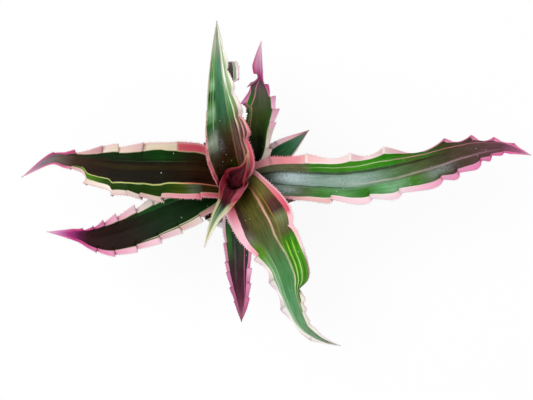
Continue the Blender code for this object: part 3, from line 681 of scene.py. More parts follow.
def fold_waves(marks, side, rng):
    """Rows along one margin, at the marks (mm from the base): the rise, pull inwards and slide of its
    ruffles, how near a fold is, how far through its ruffle a mark is, and a shade for each ruffle."""
    folds = np.array(side["folds"]) / 100 * marks[-1]
    if len(folds) < 2:
        return np.zeros((6, len(marks)))
    fine = np.arange(0, marks[-1] + FINE_STEP, FINE_STEP)
    knots = np.concatenate([[2 * folds[0] - folds[1]], folds, [2 * folds[-1] - folds[-2]]])
    k = np.clip(np.searchsorted(knots, fine, side="right") - 1, 0, len(knots) - 2)
    part = np.clip((fine - knots[k]) / (knots[k + 1] - knots[k]), 0, 1)
    size = np.array(side.get("sizes", rng.uniform(0.75, 1.2, len(knots))), dtype=float)[k]
    size[(fine < knots[0]) | (fine > knots[-1])] = 0
    fade = np.where(k == 0, ease(part), np.where(k == len(knots) - 2, 1 - ease(part), 1.0)) * size
    kinds = side["kind"] if isinstance(side["kind"], list) else [side["kind"]] * (len(knots) - 1)
    waves = np.zeros((3, len(fine)))
    for number, kind in enumerate(kinds):
        waves[:, k == number] = fold_shape(kind, part[k == number])
    waves *= fade
    crease = np.exp(-(((fine[:, None] - folds) / CREASE_HALF) ** 2)).max(axis=1)
    shade = rng.uniform(-1, 1, len(knots))[k]
    kernel = np.exp(-((np.arange(-20, 21) * FINE_STEP / SMOOTH_HALF) ** 2))
    waves = [np.convolve(wave, kernel / kernel.sum(), mode="same") for wave in waves]
    rows = (*waves, crease, part * np.minimum(1, size), shade)
    return np.array([np.interp(marks, fine, row) for row in rows])


def crumple(marks, across, rng):
    """The uneven surface of a dried leaf, from about -1 to 1."""
    bumps = np.zeros((len(marks), len(across)))
    for length in (9.0, 6.0, 4.0, 2.7):
        for turn in rng.uniform(0, math.tau, 2):
            ramp = marks[:, None] * math.cos(turn) + 8 * across[None, :] * math.sin(turn)
            bumps += 0.12 * length**0.5 * np.sin(math.tau * ramp / length + rng.uniform(0, math.tau))
    return bumps


def stations(length, folds):
    """Places along a leaf, in mm, which crowd together by the folds."""
    fine = np.linspace(0, length, 2000)
    density = 1 + 2.5 * sum((np.exp(-(((fine - fold) / 1.2) ** 2)) for fold in folds), np.zeros(2000))
    crowd = np.concatenate([[0], np.cumsum((density[1:] + density[:-1]) / 2)])
    crowd *= length / crowd[-1]
    count = int(length / STATION_STEP * density.mean())
    return np.interp(np.linspace(0, length, count), crowd, fine)


def leaf_axes(path, marks, outward, roll):
    """At each station, the leaf's tangent, its left and its upper side. It leaves the stem upright."""
    tangents = unit(np.gradient(path, marks, axis=0))
    turned = ease(marks / TURN_OUT)[:, None]
    heading = unit(outward * (1 - turned) + unit(tangents * (1, 1, 0)) * turned)
    left = np.cross((0.0, 0.0, 1.0), heading)
    rise = unit(np.cross(tangents, left) * turned - outward * (1 - turned))
    cos, sin = np.cos(roll), np.sin(roll)
    return tangents, left * cos + rise * sin, rise * cos - left * sin


def leaf_sheet(leaf, rng):
    """The leaf's middle surface in mm, as (station, column) arrays: its points, and the marks that its
    material reads, of which edge is 0 where the margin begins and 1 at the rim."""
    azimuth, clasp, cup = (math.radians(leaf[key]) for key in ("azimuth", "clasp", "cup"))
    outward = np.array((math.cos(azimuth), math.sin(azimuth), 0.0))
    radius = stem_radius(leaf["height"]) + BASE_CLEARANCE
    base = [*(radius * outward + np.array((0, 0, leaf["height"]))), radius * clasp, radius * clasp, 0.0]
    samples = curve_through([base, *leaf["spine"]])
    reach = arc_lengths(samples[:, :3])
    length = reach[-1]
    marks = stations(length, [fold / 100 * length for key in SIDES for fold in leaf[key]["folds"]])
    share = marks / length
    rows = through(marks, reach, samples)
    path = rows[:, :3]
    halves = np.maximum(rows[:, 3:5], 0.3)
    tangents, left, rise = leaf_axes(path, marks, outward, np.radians(rows[:, 5])[:, None])
    bend = (cup + (clasp - cup) * (1 - ease(marks / leaf.get("opens", OPENS))))[:, None]
    even = np.linspace(-1, 1, COLUMNS)
    across = np.sign(even) * (1 - (1 - np.abs(even)) ** 1.35)
    half = np.where(across[None, :] > 0, halves[:, :1], halves[:, 1:])
    arm = half / bend
    lateral = arm * np.sin(across * bend)
    groove = RIB_DEPTH * np.exp(-((across / 0.1) ** 2)) * np.minimum(1, half / 10)
    height = arm * (1 - np.cos(across * bend)) - groove
    slide = np.zeros_like(half)
    marking = {key: np.zeros_like(half) for key in ("edge", "crease", "part", "shade")}
    for key, sign in SIDES.items():
        side = leaf[key]
        up, pull, on, crease, part, shade = (row[:, None] for row in fold_waves(marks, side, rng))
        here = np.clip(across * sign, 0, 1)[None, :]
        scale = np.minimum(1, half / 9) * np.clip((here - RUFFLE_FROM) / (1 - RUFFLE_FROM), 0, 1) ** 1.3
        height = height + side["tall"] * up * scale
        lateral = lateral - sign * side["deep"] * pull * scale
        slide = slide + 0.75 * side["tall"] * on * scale
        band = leaf.get(key + "_band", {0: 0.99})
        begins = np.interp(share, np.array(list(band)) / 100, list(band.values()))[:, None]
        marking["edge"] += np.where(here > 0, (here - begins) / (1 - begins), 0)
        marking["crease"] += crease * ease((here - 0.5) / 0.25)
        marking["part"] += part * (here > 0.4)
        marking["shade"] += shade * (here > 0.4)
    marking["edge"][:, COLUMNS // 2] = -1
    if "crumple" in leaf:
        height = height + leaf["crumple"] * crumple(marks, across, rng)
    points = path[:, None, :] + left[:, None, :] * lateral[..., None]
    points = points + rise[:, None, :] * height[..., None] + tangents[:, None, :] * slide[..., None]
    marking["along"] = np.repeat(share[:, None], COLUMNS, axis=1)
    marking["across"] = np.repeat(across[None, :], len(share), axis=0)
    return points, share, across, marking


def edge_spines(points, normals, share, rng):
    """Small three-sided spines along both margins: four corners each, and each corner's share and side."""
    corners, places = [], []
    for edge, inner, sign in ((-1, -4, 1.0), (0, 3, -1.0)):
        line = points[:, edge]
        reach = arc_lengths(line)
        marks = np.arange(1.0, reach[-1] - 3, SPINE_STEP)
        marks = marks + rng.uniform(-0.3, 0.3, len(marks))
        spots = through(marks, reach, line)
        outs = unit(through(marks, reach, line - points[:, inner]))
        ups = unit(through(marks, reach, normals[:, edge]))
        steps = unit(through(marks, reach, np.gradient(line, axis=0)))
        shares = np.interp(marks, reach, share)
        tall = (rng.uniform(0.95, 1.35, len(marks)) * (1.2 - 0.75 * shares))[:, None]
        side = steps * 0.42 * tall
        foot = spots - outs * 0.3
        tip = spots + outs * tall + steps * 0.35 * tall
        ring = [foot + side, foot - side, spots - outs * 0.1 + ups * 0.3, tip]
        corners.append(np.stack(ring, axis=1).reshape(-1, 3))
        shares = np.repeat(shares, 4)
        places.append(np.column_stack([shares, np.full(len(shares), sign)]))
    return np.concatenate(corners), np.concatenate(places)


def strip(sheet, name):
    """The places of a sheet, moved into its strip of the leaf's map."""
    floor, tall = MAP[name]
    return sheet * (1, tall) + (0, floor)


def spine_map(count):
    """Where the faces of the spines go on the leaf's map: a grid of small cells, four triangles in each."""
    floor, tall = MAP["spines"]
    columns = 64
    cell = np.array((1 / columns, tall / math.ceil(count / columns)))
    n = np.arange(count)
    origin = np.column_stack([n % columns, n // columns]) * cell + (0, floor)
    spots = [[(0.05 + 0.24 * k, 0.1), (0.23 + 0.24 * k, 0.1), (0.14 + 0.24 * k, 0.9)] for k in range(4)]
    return origin[:, None, None, :] + np.array(spots)[None] * cell


def rim_map(count):
    """Where the rim's faces go on the leaf's map: a thin strip."""
    floor, tall = MAP["rim"]
    start = np.arange(count) / count
    near, far = np.full(count, floor), np.full(count, floor + tall)
    ends = [(start + 1 / count, far), (start, far), (start, near), (start + 1 / count, near)]
    return np.stack([np.column_stack(pair) for pair in ends], axis=1)


def leaf_mesh(name, leaf, seed):
    """A closed leaf: its upper and under sides, the rim between them, and its spines. Its map OFBake has
    the upper side in its lower part, the under side above that, and then the rim and the spines."""
    rng = np.random.default_rng(seed)
    points, share, across, marking = leaf_sheet(leaf, rng)
    normals = unit(np.cross(np.gradient(points, axis=0), np.gradient(points, axis=1)))
    thick = MARGIN_THICKNESS + (THICKNESS - MARGIN_THICKNESS) * (1 - across**2)[None, :] ** 0.7
    thick = thick * np.minimum(1, 0.35 + 2.2 * (1 - share))[:, None]
    offset = normals * thick[..., None] / 2
    flat = share.size * across.size
    index = np.arange(flat).reshape(share.size, across.size)
    a, b, c, d = index[:-1, :-1], index[1:, :-1], index[1:, 1:], index[:-1, 1:]
    top = np.stack([a, b, c, d], axis=-1).reshape(-1, 4)
    bottom = top[:, ::-1] + flat
    loop = np.concatenate([index[:, 0], index[-1, 1:], index[-2::-1, -1], index[0, -2:0:-1]])
    ahead = np.roll(loop, -1)
    rim = np.stack([ahead, loop, loop + flat, ahead + flat], axis=-1)
    spines, places = edge_spines(points, normals, share, rng)
    count = len(spines) // 4
    first = 2 * flat + 4 * np.arange(count)[:, None, None]
    tips = (first + np.array([(0, 1, 2), (0, 3, 1), (1, 3, 2), (2, 3, 0)])[None]).reshape(-1, 3)
    mesh = bpy.data.meshes.new(name)
    upper, lower = (points + offset).reshape(-1, 3), (points - offset).reshape(-1, 3)
    faces = np.concatenate([top, bottom, rim]).tolist() + tips.tolist()
    mesh.from_pydata((np.concatenate([upper, lower, spines]) * MM).tolist(), [], faces)

    sheet = np.column_stack([marking["along"].ravel(), (marking["across"].ravel() + 1) / 2])
    maps = (strip(sheet, "upper")[top], strip(sheet, "under")[bottom - flat])
    maps = [part.reshape(-1, 2) for part in (*maps, rim_map(len(loop)), spine_map(count))]
    layer = mesh.uv_layers.new(name="OFBake")
    layer.uv.foreach_set("vector", np.concatenate(maps).astype(np.float32).ravel())

    marking = {key: np.tile(values.ravel(), 2) for key, values in marking.items()}
    marking["under"] = np.repeat((0.0, 1.0), flat)
    tags = {"along": places[:, 0], "across": places[:, 1], "edge": np.ones(len(places))}
    for key, values in marking.items():
        values = np.concatenate([values, tags.get(key, np.zeros(len(places)))])
        mesh.attributes.new(key, "FLOAT", "POINT").data.foreach_set("value", values.astype(np.float32))
    mesh.shade_smooth()
    mesh.update()
    return mesh


def linear(name):
    """The colour that a hex name such as 80c040 stands for, as linear red, green and blue."""
    shares = [int(name[i : i + 2], 16) / 255 for i in (0, 2, 4)]
    return [c / 12.92 if c <= 0.04045 else ((c + 0.055) / 1.055) ** 2.4 for c in shares]


class Tree:
    """A material's or the world's node tree, with a short call for each kind of node that it needs."""

    def __init__(self, owner):
        owner.use_nodes = True
        self.owner = owner
        self.nodes = owner.node_tree.nodes

    def put(self, socket, value):
        if isinstance(value, bpy.types.NodeSocket):
            self.owner.node_tree.links.new(value, socket)
        elif isinstance(value, str):
            socket.default_value = (*linear(value), 1)
        else:
            socket.default_value = value

    def fill(self, node, inputs):
        for key, value in inputs.items():
            self.put(node.inputs[key], value)
        return node

    def node(self, kind, inputs, **settings):
        node = self.nodes.new("ShaderNode" + kind)
        for key, value in settings.items():
            setattr(node, key, value)
        return self.fill(node, inputs)

    def mark(self, name):
        return self.node("Attribute", {}, attribute_name=name).outputs["Fac"]

    def place(self):
        return self.node("TexCoord", {}).outputs["Object"]

    def math(self, operation, a, b=0.0):
        return self.node("Math", {0: a, 1: b}, operation=operation).outputs[0]

    def plus(self, a, b):
        return self.math("ADD", a, b)

    def minus(self, a, b):
        return self.math("SUBTRACT", a, b)

    def times(self, first, *others):
        for other in others:
            first = self.math("MULTIPLY", first, other)
        return first

    def point(self, x, y, z):
        return self.node("CombineXYZ", {0: x, 1: y, 2: z}).outputs[0]

    def step(self, value, low, high, start=0.0, end=1.0):
        inputs = {"Value": value, "From Min": low, "From Max": high, "To Min": start, "To Max": end}
        return self.node("MapRange", inputs, interpolation_type="SMOOTHSTEP").outputs["Result"]

    def mix(self, factor, a, b, blend="MIX"):
        return self.node("Mix", {0: factor, 6: a, 7: b}, data_type="RGBA", blend_type=blend).outputs[2]

    def stained(self, color, stain):
        return self.mix(1.0, color, stain, "MULTIPLY")

    def tinted(self, color, amount):
        """The colour made lighter or darker by the amount."""
        return self.node("VectorMath", {0: color, 3: amount}, operation="SCALE").outputs[0]

    def noise(self, place, scale, detail=3.0, roughness=0.5):
        """Noise at one scale, or stretched by a scale for each axis."""
        if isinstance(scale, tuple):
            place = self.node("VectorMath", {0: place, 1: scale}, operation="MULTIPLY").outputs[0]
            scale = 1.0
        inputs = {"Vector": place, "Scale": scale, "Detail": detail, "Roughness": roughness}
        return self.node("TexNoise", inputs).outputs[0]

    def specks(self, place, scale, near, far, test, share):
        """Round specks, one to a cell, in the cells whose own number passes the test."""
        cells = self.node("TexVoronoi", {"Vector": place, "Scale": scale})
        number = self.node("SeparateColor", {0: cells.outputs["Color"]}).outputs[0]
        return self.times(self.step(cells.outputs["Distance"], near, far), self.math(test, number, share))

    def ramp(self, factor, table):
        """The colour and strength of a ramp over the table, which gives a colour, a colour and its
        strength, or a number from 0 to 1, at some hundredths of the way."""
        node = self.node("ValToRGB", {0: factor})
        elements = node.color_ramp.elements
        for number, (place, stop) in enumerate(table.items()):
            if number < 2:
                elements[number].position = place / 100
            else:
                elements.new(place / 100)
            color, strength = stop if isinstance(stop, tuple) else (stop, 1)
            elements[number].color = (*(linear(color) if isinstance(color, str) else [color] * 3), strength)
        return node.outputs["Color"], node.outputs["Alpha"]

    def level(self, factor, table):
        """A number from 0 to 1: one value, or a table of them."""
        return self.ramp(factor, table)[0] if isinstance(table, dict) else table

    def across_at(self, along, path):
        """A place across a leaf from -1 to 1: one value, or a path along the leaf."""
        if not isinstance(path, dict):
            return path
        middle = self.level(along, {place: (at + 1) / 2 for place, at in path.items()})
        return self.node("MapRange", {"Value": middle, "To Min": -1.0, "To Max": 1.0}).outputs["Result"]

    def finish(self, color, roughness, height, depth, specular):
        """The finished material, with bumps of the height and of depth mm."""
        bump = self.node("Bump", {"Height": height, "Strength": 0.6, "Distance": depth * MM})
        looks = {"Base Color": color, "Roughness": roughness, "Specular IOR Level": specular}
        self.fill(self.nodes["Principled BSDF"], {**looks, "Normal": bump.outputs[0]})
        return self.owner


def new_tree(name):
    return Tree(bpy.data.materials.new(name))


def striped(tree, look, along, v):
    """A blade's colour: down its middle, then the zones beside that, then the lines over them."""
    color, _ = tree.ramp(along, look["blade"])
    for low, high, soft, table in look["zones"]:
        shown, strength = tree.ramp(along, table)
        over = tree.minus(v, tree.across_at(along, low))
        inside = tree.times(tree.step(over, -soft, soft), tree.step(v, high + soft, high - soft))
        color = tree.mix(tree.times(inside, strength), color, shown)
    for path, half, table in look["lines"]:
        off = tree.math("ABSOLUTE", tree.minus(v, tree.across_at(along, path)))
        shown, strength = tree.ramp(along, table)
        color = tree.mix(tree.times(tree.step(off, half, half * 0.25), strength), color, shown)
    return color


def with_painted_sheen(tree, look, color, along, v, bars):
    """The blade with patches of painted sheen, a silvery glare painted into its colour, from near to far
    along it and low to high across it.
    """
    for (near, far), (low, high), strength in look.get("painted_sheen", []):
        near, far = near / 100, far / 100
        inside = tree.times(tree.step(v, low - 0.15, low + 0.1), tree.step(v, high + 0.15, high - 0.1))
        begun = tree.step(along, near - 0.05, near + 0.05)
        reached = tree.times(begun, tree.step(along, far + 0.06, far - 0.06))
        broken = tree.times(tree.step(bars, 0.3, 0.6, 0.25, 1.0), strength)
        # Painted sheen: inside each patch the blade is lightened towards silvery grey-blue.
        color = tree.mix(tree.times(inside, reached, broken), color, "b4c4c8")
    return color


def margined(tree, look, color, along, fine, wander):
    """The blade with its pale or pink margins, painted shade along their folds, painted highlights on some
    fold crests, and the lines that edge them.
    """
    edge, crease, part, shade = (tree.mark(name) for name in ("edge", "crease", "part", "shade"))
    leftward = tree.math("GREATER_THAN", tree.mark("across"), 0.0)
    band = tree.mix(leftward, tree.ramp(along, look["right"])[0], tree.ramp(along, look["left"])[0])
    band = tree.tinted(band, tree.step(fine, 0.3, 0.7, 0.94, 1.05))
    band = tree.mix(tree.times(part, 0.3), band, tree.stained(band, "f8dcdf"))
    band = tree.tinted(band, tree.step(shade, -1, 1, 0.93, 1.05))
    if "rim" in look:
        outer = tree.times(tree.step(edge, 0.72, 0.95), tree.level(along, look.get("rims", 0.8)))
        band = tree.mix(outer, band, look["rim"])
    reached = tree.plus(edge, tree.times(wander, 0.25))
    color = tree.mix(tree.step(reached, -0.06, 0.06), color, band)
    inner = tree.step(tree.math("ABSOLUTE", reached), 0.14, 0.02)
    inner = tree.times(inner, tree.level(along, look.get("inner_share", 0.35)))
    color = tree.mix(inner, color, look["inner"])
    # Painted shade: the margins are darkened along their creases, where the folds would shade them.
    fold = tree.times(crease, tree.step(edge, -0.3, 0.2, 0.1, 0.4))
    color = tree.mix(fold, color, tree.stained(color, "8a6c66"))
    # Painted highlight: the crests of the folds on the left margin are lightened where light would catch
    # them.
    if "painted_ridge_highlight" in look:
        lit = tree.times(tree.step(crease, 0.05, 0.7), tree.step(edge, -0.1, 0.1, 0.0, 0.9), leftward)
        color = tree.mix(tree.times(lit, tree.level(along, look["painted_ridge_highlights"])), color, look["painted_ridge_highlight"])
    return color


def leaf_shade(name, look, length, seed):
    """A leaf's finish: a striped blade, pale or pink margins with painted shade in their folds and painted
    highlights on some fold crests, patches of painted sheen, silvery scurf and dust.
    """
    tree = new_tree(name)
    along, across, under = (tree.mark(key) for key in ("along", "across", "under"))
    spot = tree.point(tree.times(along, length), tree.times(across, BLADE_HALF), seed)
    wander = tree.minus(tree.noise(spot, (0.09, 0.12, 1), 2.0), 0.5)
    fine = tree.noise(spot, (0.05, 1.5, 1), 4.0, 0.65)
    broad = tree.noise(spot, (0.12, 0.25, 1))
    bars = tree.noise(spot, (0.7, 0.9, 1), 4.0, 0.6)
    v = tree.plus(across, tree.times(wander, 0.09))
    ribs = 0.08 + 0.5 * look["streaks"]
    color = tree.tinted(striped(tree, look, along, v), tree.step(fine, 0.3, 0.7, 1 - ribs, 1 + ribs))
    color = tree.tinted(color, tree.step(broad, 0.3, 0.7, 0.88, 1.1))
    scurf = tree.times(tree.step(bars, 0.5, 0.72), tree.step(broad, 0.35, 0.6), look["scurf"])
    color = tree.mix(tree.times(scurf, 0.4), color, "a4b0aa")
    color = with_painted_sheen(tree, look, color, along, v, bars)
    dust = tree.specks(spot, 0.3, 0.11, 0.05, "LESS_THAN", look.get("dust", 0.2))
    color = tree.mix(tree.times(dust, 0.75), color, "d8dcd4")
    color = margined(tree, look, color, along, fine, wander)
    below = tree.mix(0.45, tree.mix(tree.step(bars, 0.35, 0.7), "6a6460", "a8aaa2"), color)
    below = tree.stained(below, tree.ramp(fine, {30: "b0b0b0", 70: "ffffff"})[0])
    color = tree.mix(under, color, below)
    rough = tree.plus(tree.step(fine, 0.2, 0.8, 0.38, 0.52), tree.times(tree.plus(scurf, under), 0.2))
    height = tree.plus(tree.times(fine, 0.6), tree.times(bars, 0.5))
    return tree.finish(color, rough, height, 0.25, 0.05)


def dry_shade(name, dark, light, seed):
    """A dried leaf: streaked, mottled and rough."""
    tree = new_tree(name)
    spot = tree.point(tree.times(tree.mark("along"), 30.0), tree.times(tree.mark("across"), 5.0), seed)
    fine = tree.noise(spot, (0.12, 1.6, 1), 5.0, 0.7)
    blotch = tree.noise(spot, (0.3, 0.4, 1), 4.0)
    color = tree.mix(tree.step(fine, 0.35, 0.7), dark, light)
    color = tree.mix(tree.step(blotch, 0.5, 0.75, 0.0, 0.7), color, tree.stained(color, "6a5a50"))
    height = tree.plus(fine, tree.times(blotch, 0.8))
    return tree.finish(color, tree.step(blotch, 0.3, 0.7, 0.65, 0.9), height, 0.5, 0.2)


def heart_shade():
    """The dark maroon of the unopened leaves, finely ribbed along them."""
    tree = new_tree("leaf_heart_fine")
    place = tree.place()
    ribs = tree.noise(place, (1100, 1100, 60), 4.0, 0.6)
    cloud = tree.noise(place, 300.0)
    color = tree.mix(tree.step(ribs, 0.35, 0.7), "2a0a10", "6a2430")
    color = tree.mix(tree.step(cloud, 0.5, 0.75, 0.0, 0.5), color, "2c1a18")
    return tree.finish(color, tree.step(cloud, 0.3, 0.7, 0.3, 0.45), ribs, 0.2, 0.3)


def stem_shade():
    """Fibrous brown bark with darker scars round it."""
    tree = new_tree("stem_bark_fine")
    place = tree.place()
    rings = tree.noise(place, (120, 120, 1400), 4.0, 0.6)
    fibres = tree.noise(place, (1800, 1800, 200), 5.0, 0.7)
    color = tree.mix(tree.step(rings, 0.35, 0.7), "3a261a", "7a5a40")
    color = tree.stained(color, tree.ramp(fibres, {30: "8a8078", 70: "ffffff"})[0])
    return tree.finish(color, tree.step(fibres, 0.3, 0.7, 0.75, 0.95), tree.plus(rings, fibres), 0.6, 0.2)


def mix_shade():
    """Pale gritty potting mix: pumice and perlite grains with some bark, over a finer bed."""
    tree = new_tree("potting_mix_fine")
    place = tree.place()
    pores = tree.noise(place, 2600.0, 5.0, 0.7)
    tone = tree.noise(place, 700.0)
    color, _ = tree.ramp(tree.mark("grain"), {
        0: "b8ab9c", 10: "e6e3dc", 45: "f0efec", 70: "dcd6ca", 86: "c9bfae", 90: "8a6a4c", 100: "5a4030",
    })
    color = tree.stained(color, tree.ramp(pores, {30: "b8b0a8", 60: "ffffff"})[0])
    color = tree.mix(tree.step(tone, 0.45, 0.7, 0.0, 0.35), color, tree.stained(color, "d8c8b4"))
    return tree.finish(color, tree.step(pores, 0.3, 0.7, 0.8, 0.98), pores, 0.5, 0.2)


def pot_shade():
    """White glaze: faint mottling and a fine orange-peel surface, and bare clay under the foot."""
    tree = new_tree("pot_glaze_fine")
    place = tree.place()
    cloud = tree.noise(place, 60.0, 4.0)
    peel = tree.noise(place, 900.0, 2.0)
    color = tree.mix(tree.step(cloud, 0.3, 0.7), "ecebe7", "f6f5f2")
    specks = tree.specks(place, 420.0, 0.16, 0.06, "GREATER_THAN", 0.93)
    color = tree.mix(tree.times(specks, 0.4), color, "a89c8c")
    clay = tree.step(tree.node("SeparateXYZ", {0: place}).outputs[2], 0.0012, 0.0006)
    color = tree.mix(clay, color, tree.mix(tree.step(peel, 0.3, 0.7), "c4a48c", "d4b8a2"))
    rough = tree.plus(tree.step(cloud, 0.3, 0.7, 0.22, 0.3), tree.times(clay, 0.6))
    return tree.finish(color, rough, tree.plus(peel, tree.times(cloud, 0.5)), 0.15, 0.5)


def floor_shade():
    """A pale floor that the camera sees as white, and that still takes the plant's shadow."""
    tree = new_tree("floor")
    shader = tree.fill(tree.nodes["Principled BSDF"], {
        "Base Color": (FLOOR_TONE, FLOOR_TONE, FLOOR_TONE, 1), "Roughness": 0.9,
    })
    path = tree.node("LightPath", {}).outputs
    seen = tree.times(tree.math("MAXIMUM", path["Is Camera Ray"], path["Is Transmission Ray"]), FLOOR_GLOW)
    glow = tree.node("Emission", {"Strength": 1.0}).outputs[0]
    blend = tree.node("MixShader", {0: seen, 1: shader.outputs[0], 2: glow})
    tree.put(tree.nodes["Material Output"].inputs[0], blend.outputs[0])
    return tree.owner


def new_object(name, data):
    item = bpy.data.objects.new(name, data)
    bpy.context.scene.collection.objects.link(item)
    return item


def mesh_from(name, bm):
    mesh = bpy.data.meshes.new(name)
    bm.to_mesh(mesh)
    bm.free()
    return mesh


def add_piece(name, mesh, nodes, material):
    """A piece on the one body, standing for its CAD nodes."""
    piece = new_object(name, mesh)
    mesh.materials.clear()
    mesh.materials.append(material)
    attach(piece, "root")
    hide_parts(*nodes)


def make_leaves():
    for number, (node, leaf) in enumerate(LEAVES.items()):
        name, look = node + "_fine", LOOKS[node]
        bands = {key + "_band": look[key + "_band"] for key in SIDES}
        mesh = leaf_mesh(name, leaf | bands, LEAF_SEED + number)
        length = arc_lengths(np.array(leaf["spine"])[:, :3])[-1]
        add_piece(name, mesh, [node], leaf_shade(name, look, length, 7.3 * number))


def make_old_leaves():
    for number, (node, leaf) in enumerate(OLD_LEAVES.items()):
        name = node + "_fine"
        mesh = leaf_mesh(name, OLD_LEAF | leaf, OLD_LEAF_SEED + number)
        add_piece(name, mesh, [node], dry_shade(name, *leaf["tones"], 3.1 * number))


def rounded(points, radius, count=6):
    """The polyline with each inner corner turned into a smooth arc of about the radius."""
    points = [np.array(point, dtype=float) for point in points]
    smooth = [points[0]]
    for before, corner, after in zip(points, points[1:], points[2:]):
        toward, away = before - corner, after - corner
        cut = min(radius, 0.45 * np.linalg.norm(toward), 0.45 * np.linalg.norm(away))
        start = corner + toward / np.linalg.norm(toward) * cut
        end = corner + away / np.linalg.norm(away) * cut
        for t in np.linspace(0, 1, count):
            smooth.append((1 - t) ** 2 * start + 2 * t * (1 - t) * corner + t * t * end)
    return [*smooth, points[-1]]


def lathe(name, profile, sides):
    """A closed turned mesh: profile is (radius, height) in mm from the axis round to the axis."""
    bm = bmesh.new()
    verts = [bm.verts.new((radius * MM, 0, height * MM)) for radius, height in profile]
    edges = [bm.edges.new(pair) for pair in zip(verts, verts[1:])]
    turn = {"cent": (0, 0, 0), "axis": (0, 0, 1), "angle": math.tau}
    bmesh.ops.spin(bm, geom=verts + edges, steps=sides, use_merge=True, **turn)
    bmesh.ops.remove_doubles(bm, verts=bm.verts, dist=1e-6)
    bmesh.ops.recalc_face_normals(bm, faces=bm.faces)
    mesh = mesh_from(name, bm)
    mesh.shade_smooth()
    return mesh


def bore(mesh, places, radius, depth):
    """Cuts upright round holes up into the mesh from below it."""
    bm = bmesh.new()
    size = {"radius1": radius * MM, "radius2": radius * MM, "depth": 2 * depth * MM}
    for x, y in places:
        ends = bmesh.ops.create_cone(bm, cap_ends=True, segments=32, **size)
        bmesh.ops.translate(bm, verts=ends["verts"], vec=(x * MM, y * MM, 0))
    cutter = new_object("cutter", mesh_from("cutter", bm))
    body = new_object("bored", mesh)
    cut = body.modifiers.new("holes", "BOOLEAN")
    cut.object = cutter
    cut.solver = "EXACT"
    bored = bpy.data.meshes.new_from_object(body.evaluated_get(bpy.context.evaluated_depsgraph_get()))
    for item in (cutter, body):
        bpy.data.objects.remove(item)
    bored.set_sharp_from_angle(angle=math.radians(40))
    return bored


def make_heart():
    """The folded core of unopened leaves, which closes the middle of the rosette and leans to one side."""
    tall = HEART_TOP - HEART_FOOT
    shares = np.linspace(0, 1, 40)[:-1]
    radii = [(HEART_RADIUS + HEART_SWELL * share) * (1 - share**2.0) ** 0.8 for share in shares]
    sides = zip(radii, HEART_FOOT + shares * tall)
    mesh = lathe("heart_fine", [(0, HEART_FOOT), *sides, (0, HEART_TOP)], 64)
    for vert in mesh.vertices:
        x, y, z = (value / MM for value in vert.co)
        share = max(0.0, (z - HEART_FOOT) / tall)
        pleat = 1 - 0.12 * share * (1 + math.sin(3 * math.atan2(y, x) + 5 * share))
        lean_x, lean_y = (lean * share**1.3 for lean in HEART_LEAN)
        vert.co = ((x * pleat + lean_x) * MM, (y * pleat + lean_y) * MM, z * MM)
    add_piece("heart_fine", mesh, ["bud_leaf"], heart_shade())


def make_pot():
    """The glazed pot: a foot ring, tapered walls, a rim band and drain holes."""
    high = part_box("pot")[1] / MM
    rim, top = high[0], high[2]
    band = top - POT_BAND
    foot = POT_FOOT_RADIUS
    inside = rim - POT_RIM_STEP - POT_WALL
    profile = rounded([
        (0, 0.4), (foot - 4, 0.4), (foot - 3.4, 0), (foot - 0.4, 0), (foot, 1.6),
        (foot + POT_SLOPE * band, band), (rim, band + 0.9), (rim, top), (inside, top),
        (inside - POT_SLOPE * (top - 8), 8), (inside - POT_SLOPE * top - 3, POT_FLOOR), (0, POT_FLOOR),
    ], 1.4)
    turns = [math.tau * i / DRAIN_COUNT for i in range(DRAIN_COUNT)]
    places = [(DRAIN_CIRCLE * math.cos(turn), DRAIN_CIRCLE * math.sin(turn)) for turn in turns]
    mesh = bore(lathe("pot_fine", profile, 160), places, DRAIN_RADIUS, POT_FLOOR + 2)
    add_piece("pot_fine", mesh, ["pot"], pot_shade())


def make_stem():
    """The stem's bark: rings of old leaf scars, furrowed round it."""
    sides = [(stem_radius(height), height) for height in np.arange(STEM_FOOT, STEM_TOP, 0.5)]
    tip = [(STEM_TIP_RADIUS * 0.7, STEM_TOP), (0, STEM_TOP)]
    mesh = lathe("stem_fine", [(0, STEM_FOOT), *sides, *tip], 96)
    for vert in mesh.vertices:
        x, y, z = (value / MM for value in vert.co)
        radius = math.hypot(x, y)
        if radius > 1:
            turn = math.atan2(y, x)
            scar = 0.18 * math.sin(math.tau * z / 2.4 + 1.5 * math.sin(turn))
            scar += 0.12 * math.sin(23 * turn + z)
            vert.co.x *= 1 + (scar - 0.2) / radius
            vert.co.y *= 1 + (scar - 0.2) / radius
    add_piece("stem_fine", mesh, ["stem"], stem_shade())


def grain_shapes(rng, count, bed_radius, bed_height):
    """Irregular grains lying on the bed: all their points, their triangles and each point's tone."""
    bm = bmesh.new()
    bmesh.ops.create_icosphere(bm, subdivisions=1, radius=1)
    ball = np.array([vert.co for vert in bm.verts])
    faces = np.array([[vert.index for vert in face.verts] for face in bm.faces])
    bm.free()
    points, tones = [], []
    for _ in range(count):
        tone = rng.uniform(0.06, 1.0)
        size = rng.uniform(0.7, 1.9)
        stretch = (1.6, 0.8, 0.5) if tone > BARK_TONE else rng.uniform(0.75, 1.15, 3)
        radius = math.sqrt(rng.uniform((STEM_FOOT_RADIUS + 0.5) ** 2, (bed_radius - size) ** 2))
        turn, spin = rng.uniform(0, math.tau, 2)
        shape = ball * (1 + rng.uniform(-0.2, 0.2, len(ball)))[:, None] * size * stretch
        cos, sin = math.cos(spin), math.sin(spin)
        shape = shape @ np.array([(cos, -sin, 0), (sin, cos, 0), (0, 0, 1)])
        points.append(shape + (radius * math.cos(turn), radius * math.sin(turn), bed_height + 0.35 * size))
        tones.append(np.full(len(ball), tone))
    starts = len(ball) * np.arange(count)[:, None, None]
    return np.concatenate(points), (faces[None] + starts).reshape(-1, 3), np.concatenate(tones)


